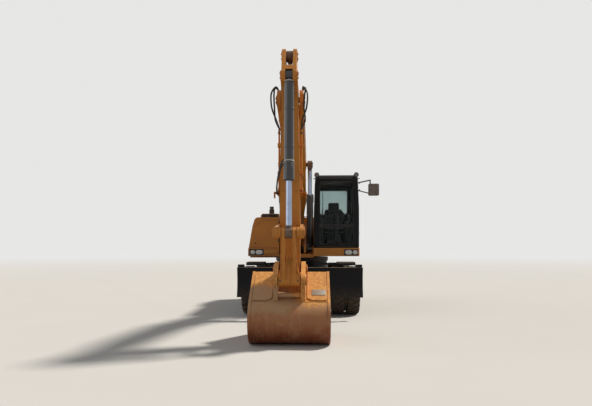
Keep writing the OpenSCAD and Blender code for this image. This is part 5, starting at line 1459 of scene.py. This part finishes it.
class EXCAVATOR_OT_deck(ScenePiece, bpy.types.Operator):
    """Valve block, hoses at the boom's foot and pin covers of the deck"""
    bl_idname = "excavator.deck"
    bl_label = "Deck"

    def make(self):
        shape = Shape()
        for s in (-1, 1):
            pin_cap(shape, at("foot", s * 196), s, 84, 8, 0)
            pin_cap(shape, at("foot", s * 214), s, 60, 12, 4)
            pin_cap(shape, at("lift_foot", s * 364), s, 62, 10, 4)
            # Weld beads along the foot plates, and their stiffening rings
            y = ARM_Y + s * 197
            bead(shape, [(-470, y, 1309), (1030, y, 1309)], 6)
            for x in (-330, 120, 560):
                shape.turned((x, ARM_Y + s * 196, 1452), (0, s, 0),
                             [(0, 66), (7, 66), (7, 46), (0, 46)], 32)
        for x in (-1400, 1050):
            for y in (-1120, -520):
                shape.bolt((x, y, 1304.3), (0, 0, 1), 12, 9)
        shape.piece("deck_trim", "upper", "body")
        block = Shape()
        block.slab((-420, ARM_Y - 120, 1306), (-160, ARM_Y + 120, 1470), 8)
        for i in range(4):
            for k in range(2):
                p = Vector((-380 + 60 * i, ARM_Y + (60 if k else -60), 1470))
                block.bar(p, p + Vector((0, 0, 26)), 22, 6, 3)
                block.turned(p + Vector((0, 0, 26)), (0, 0, 1), [(0, 16), (20, 16), (22, 12)], 18)
        for i in range(3):
            y = ARM_Y - 70 + 70 * i
            block.bar((-430, y, 1390), (-462, y, 1390), 26, 20, 4)
        block.piece("valve_block", "upper", "cast")
        hoses = Shape()
        for s in (-1, 1):
            for i, y in enumerate(BOOM_PIPE_Y):
                inner = 96 - 34 * i
                route = [(-330 + 70 * i, 60, 1496), (-330 + 70 * i, 64, 1560),
                         (-300 + 70 * i, 80, 1760), (-130 + 46 * i, inner, 2010),
                         (170 + 20 * i, inner, 2200), (480, inner + 20, 2480),
                         (700, y - 14, 2690), (790, y, 2742), (826, y, 2762)]
                hoses.hose([(x, ARM_Y + s * w, z) for x, w, z in route], 13, 10, 6)
        obj = hoses.piece("boom_foot_hoses", None, "hose", 60)
        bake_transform(obj)
        lift = Shape()
        for s in (-1, 1):
            y = ARM_Y + s * LIFT_Y
            lift.hose([(1040, y - s * 60, 1320), (1110, y - s * 74, 1370), (1150, y - s * 60, 1440),
                       (1166, y - s * 20, 1500)], 11, 10, 5)
        hose = lift.piece("lift_hoses", None, "hose", 60)
        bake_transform(hose)


class EXCAVATOR_OT_rear(ScenePiece, bpy.types.Operator):
    """Tail lamps, lifting eyes, latches, grille screens and exhaust parts"""
    bl_idname = "excavator.rear"
    bl_label = "Rear"

    def make(self):
        lamp, bezel = Shape(), Shape()
        for s in (-1, 1):
            for y in (820, 960):
                way = tail(s * y)
                p = way * (TAIL_R - 4) + Vector((0, 0, 1700))
                bezel.turned(p, way, [(-6, 66), (6, 64), (10, 58), (9, 50), (2, 50)], 36)
                lamp.turned(p, way, [(0, 50), (4, 49), (8, 36), (9, 14), (9, 1)], 36)
        lamp.piece("tail_lamps", "upper", "red_lens")
        for y in (-620, 620):
            bezel.turned((-1960, y, 1980), (0, 0, 1), [(0, 74), (6, 74), (8, 66), (8, 1)], 32)
        bezel.piece("tail_lamp_rims", "upper", "plastic")
        eyes = Shape()
        for y in (-620, 620):
            eyes.hose([(-1990, y, 1976), (-1990, y, 2030), (-1960, y, 2062), (-1930, y, 2030),
                       (-1930, y, 1976)], 14, 14, 6)
        for z in (1330, 1930):
            for y in (-700, -350, 0, 350, 700):
                way = tail(y)
                eyes.turned(way * (TAIL_R - 5) + Vector((0, 0, z)), way,
                            [(0, 26), (4.5, 24), (4.5, 12), (1, 10), (1, 1)], 20)
        eyes.piece("counterweight_eyes", "upper", "body")
        self.panels()
        self.exhaust()
        self.engine()

    def panels(self):
        screens = Shape()
        # Screen behind the slots of the right wall
        for x in (-1260, -990):
            screens.slab((x - 12, -1127, 1452), (x + 252, -1122, 1830), 1, 1)
        screens.piece("housing_screens", "upper", "mesh")
        door = Shape()
        for x in (-1260, -990):
            door.slab((x - 12, 1234, 1452), (x + 252, 1239, 1830), 1, 1)
        door.piece("service_door_screens", "service_door", "mesh")
        latch = Shape()
        latch.slab((-1310, 1268, 1600), (-1270, 1278, 1690), 4)
        latch.bar((-1290, 1276, 1645), (-1290, 1284, 1645), 14, 18, 2)
        latch.slab((-1312, 1268, 1410), (-640, 1273, 1416), 1.5)
        latch.piece("service_door_latch", "service_door", "plastic")
        hood = Shape()
        for y in (-420, 720):
            hood.slab((-612, y, 2138), (-600, y + 90, 2176), 4)
        hood.hose([(-690, 40, 2212), (-690, 60, 2250), (-690, 240, 2250), (-690, 260, 2212)], 9, 10)
        for i in range(8):
            hood.slab((-1180 + 60 * i + 28, 480, 2214), (-1180 + 60 * i + 34, 1120, 2226), 1.5)
        hood.piece("hood_latches", "engine_hood", "plastic")
        seams = Shape()
        for y in (-1162, 1272):
            seams.hose([(-1478, y, 1330), (-1000, y, 1330), (-500, y, 1330)], 2.4, 6, 2)
        for x in (-1300, -700):
            seams.hose([(x, -1161, z) for z in (1340, 1700, 2030)], 2.4, 6, 2)
        seams.slab((-1478, -1166, 1352), (-1462, -1158, 1990), 3)
        seams.piece("housing_seams", "upper", "plastic")

    def exhaust(self):
        shape = Shape()
        p = Vector((-1150, -840, 2130))
        up = (0, 0, 1)
        shape.turned(p, up, [(38, 92), (46, 88), (50, 60)], 40)
        for a in around(6):
            shape.bolt(p + Vector((76 * math.cos(a), 76 * math.sin(a), 40)), up, 8, 7)
        # Heat shield in slats with its clamps
        for a in around(18):
            q = p + Vector((63 * math.cos(a), 63 * math.sin(a), 0))
            shape.bar(q + Vector((0, 0, 110)), q + Vector((0, 0, 330)), 5, 8)
        for z in (104, 214, 324):
            shape.turned(p, up, [(z, 57), (z, 70), (z + 14, 70), (z + 14, 57)], 40)
        shape.turned(p, up, [(404, 56), (406, 60), (418, 60), (420, 56)], 40)
        shape.piece("exhaust_shield", "upper", "cast")
        # Air cleaner cover beside it
        cap = Shape()
        cap.turned((-760, -900, 2129), up, [(0, 96), (10, 100), (60, 100), (70, 108), (96, 108),
                                            (112, 92), (116, 1)], 40)
        for a in around(20):
            x, y = -760 + 101 * math.cos(a), -900 + 101 * math.sin(a)
            cap.bar((x, y, 2142), (x, y, 2188), 4, 6)
        cap.piece("air_intake", "upper", "plastic")

    def engine(self):
        shape = Shape()
        for i in range(4):
            x = -1290 + 160 * i
            shape.slab((x, -60, 1928), (x + 130, 260, 1990), 14)
            for y in (-20, 220):
                shape.bolt((x + 65, y, 1990), (0, 0, 1), 10, 8)
        shape.bar((-1290, 420, 1990), (-680, 420, 1990), 52, 28, 8)
        for i in range(4):
            x = -1225 + 160 * i
            shape.hose([(x, 260, 1950), (x, 340, 1985), (x, 420, 1985)], 24, 14, 5)
        shape.bar((-1240, -320, 1926), (-760, -320, 1926), 88, 32, 10)
        shape.piece("engine_top", "upper", "cast")


STEPS = [
    EXCAVATOR_OT_stage, EXCAVATOR_OT_finishes, EXCAVATOR_OT_arm, EXCAVATOR_OT_deck,
    EXCAVATOR_OT_tyres, EXCAVATOR_OT_wheels, EXCAVATOR_OT_undercarriage, EXCAVATOR_OT_blade,
    EXCAVATOR_OT_bucket, EXCAVATOR_OT_cylinders, EXCAVATOR_OT_cab, EXCAVATOR_OT_seat,
    EXCAVATOR_OT_right_body, EXCAVATOR_OT_rear,
]


class EXCAVATOR_PT_pieces(bpy.types.Panel):
    """Lists the pieces"""
    bl_idname = "EXCAVATOR_PT_pieces"
    bl_label = "Excavator"
    bl_space_type = "VIEW_3D"
    bl_region_type = "UI"
    bl_category = "Excavator"

    def draw(self, context):
        for key in ExcavatorLooks.__annotations__:
            self.layout.prop(context.scene.excavator_looks, key)
        for step in STEPS:
            self.layout.operator(step.bl_idname)


CLASSES = [ExcavatorLooks, *STEPS, EXCAVATOR_PT_pieces]


def register():
    for cls in CLASSES:
        bpy.utils.register_class(cls)
    bpy.types.Scene.excavator_looks = PointerProperty(type=ExcavatorLooks)


def unregister():
    del bpy.types.Scene.excavator_looks
    for cls in reversed(CLASSES):
        bpy.utils.unregister_class(cls)


def main():
    register()
    for step in STEPS:
        group, name = step.bl_idname.split(".")
        getattr(getattr(bpy.ops, group), name)()


if __name__ == "__main__":
    main()
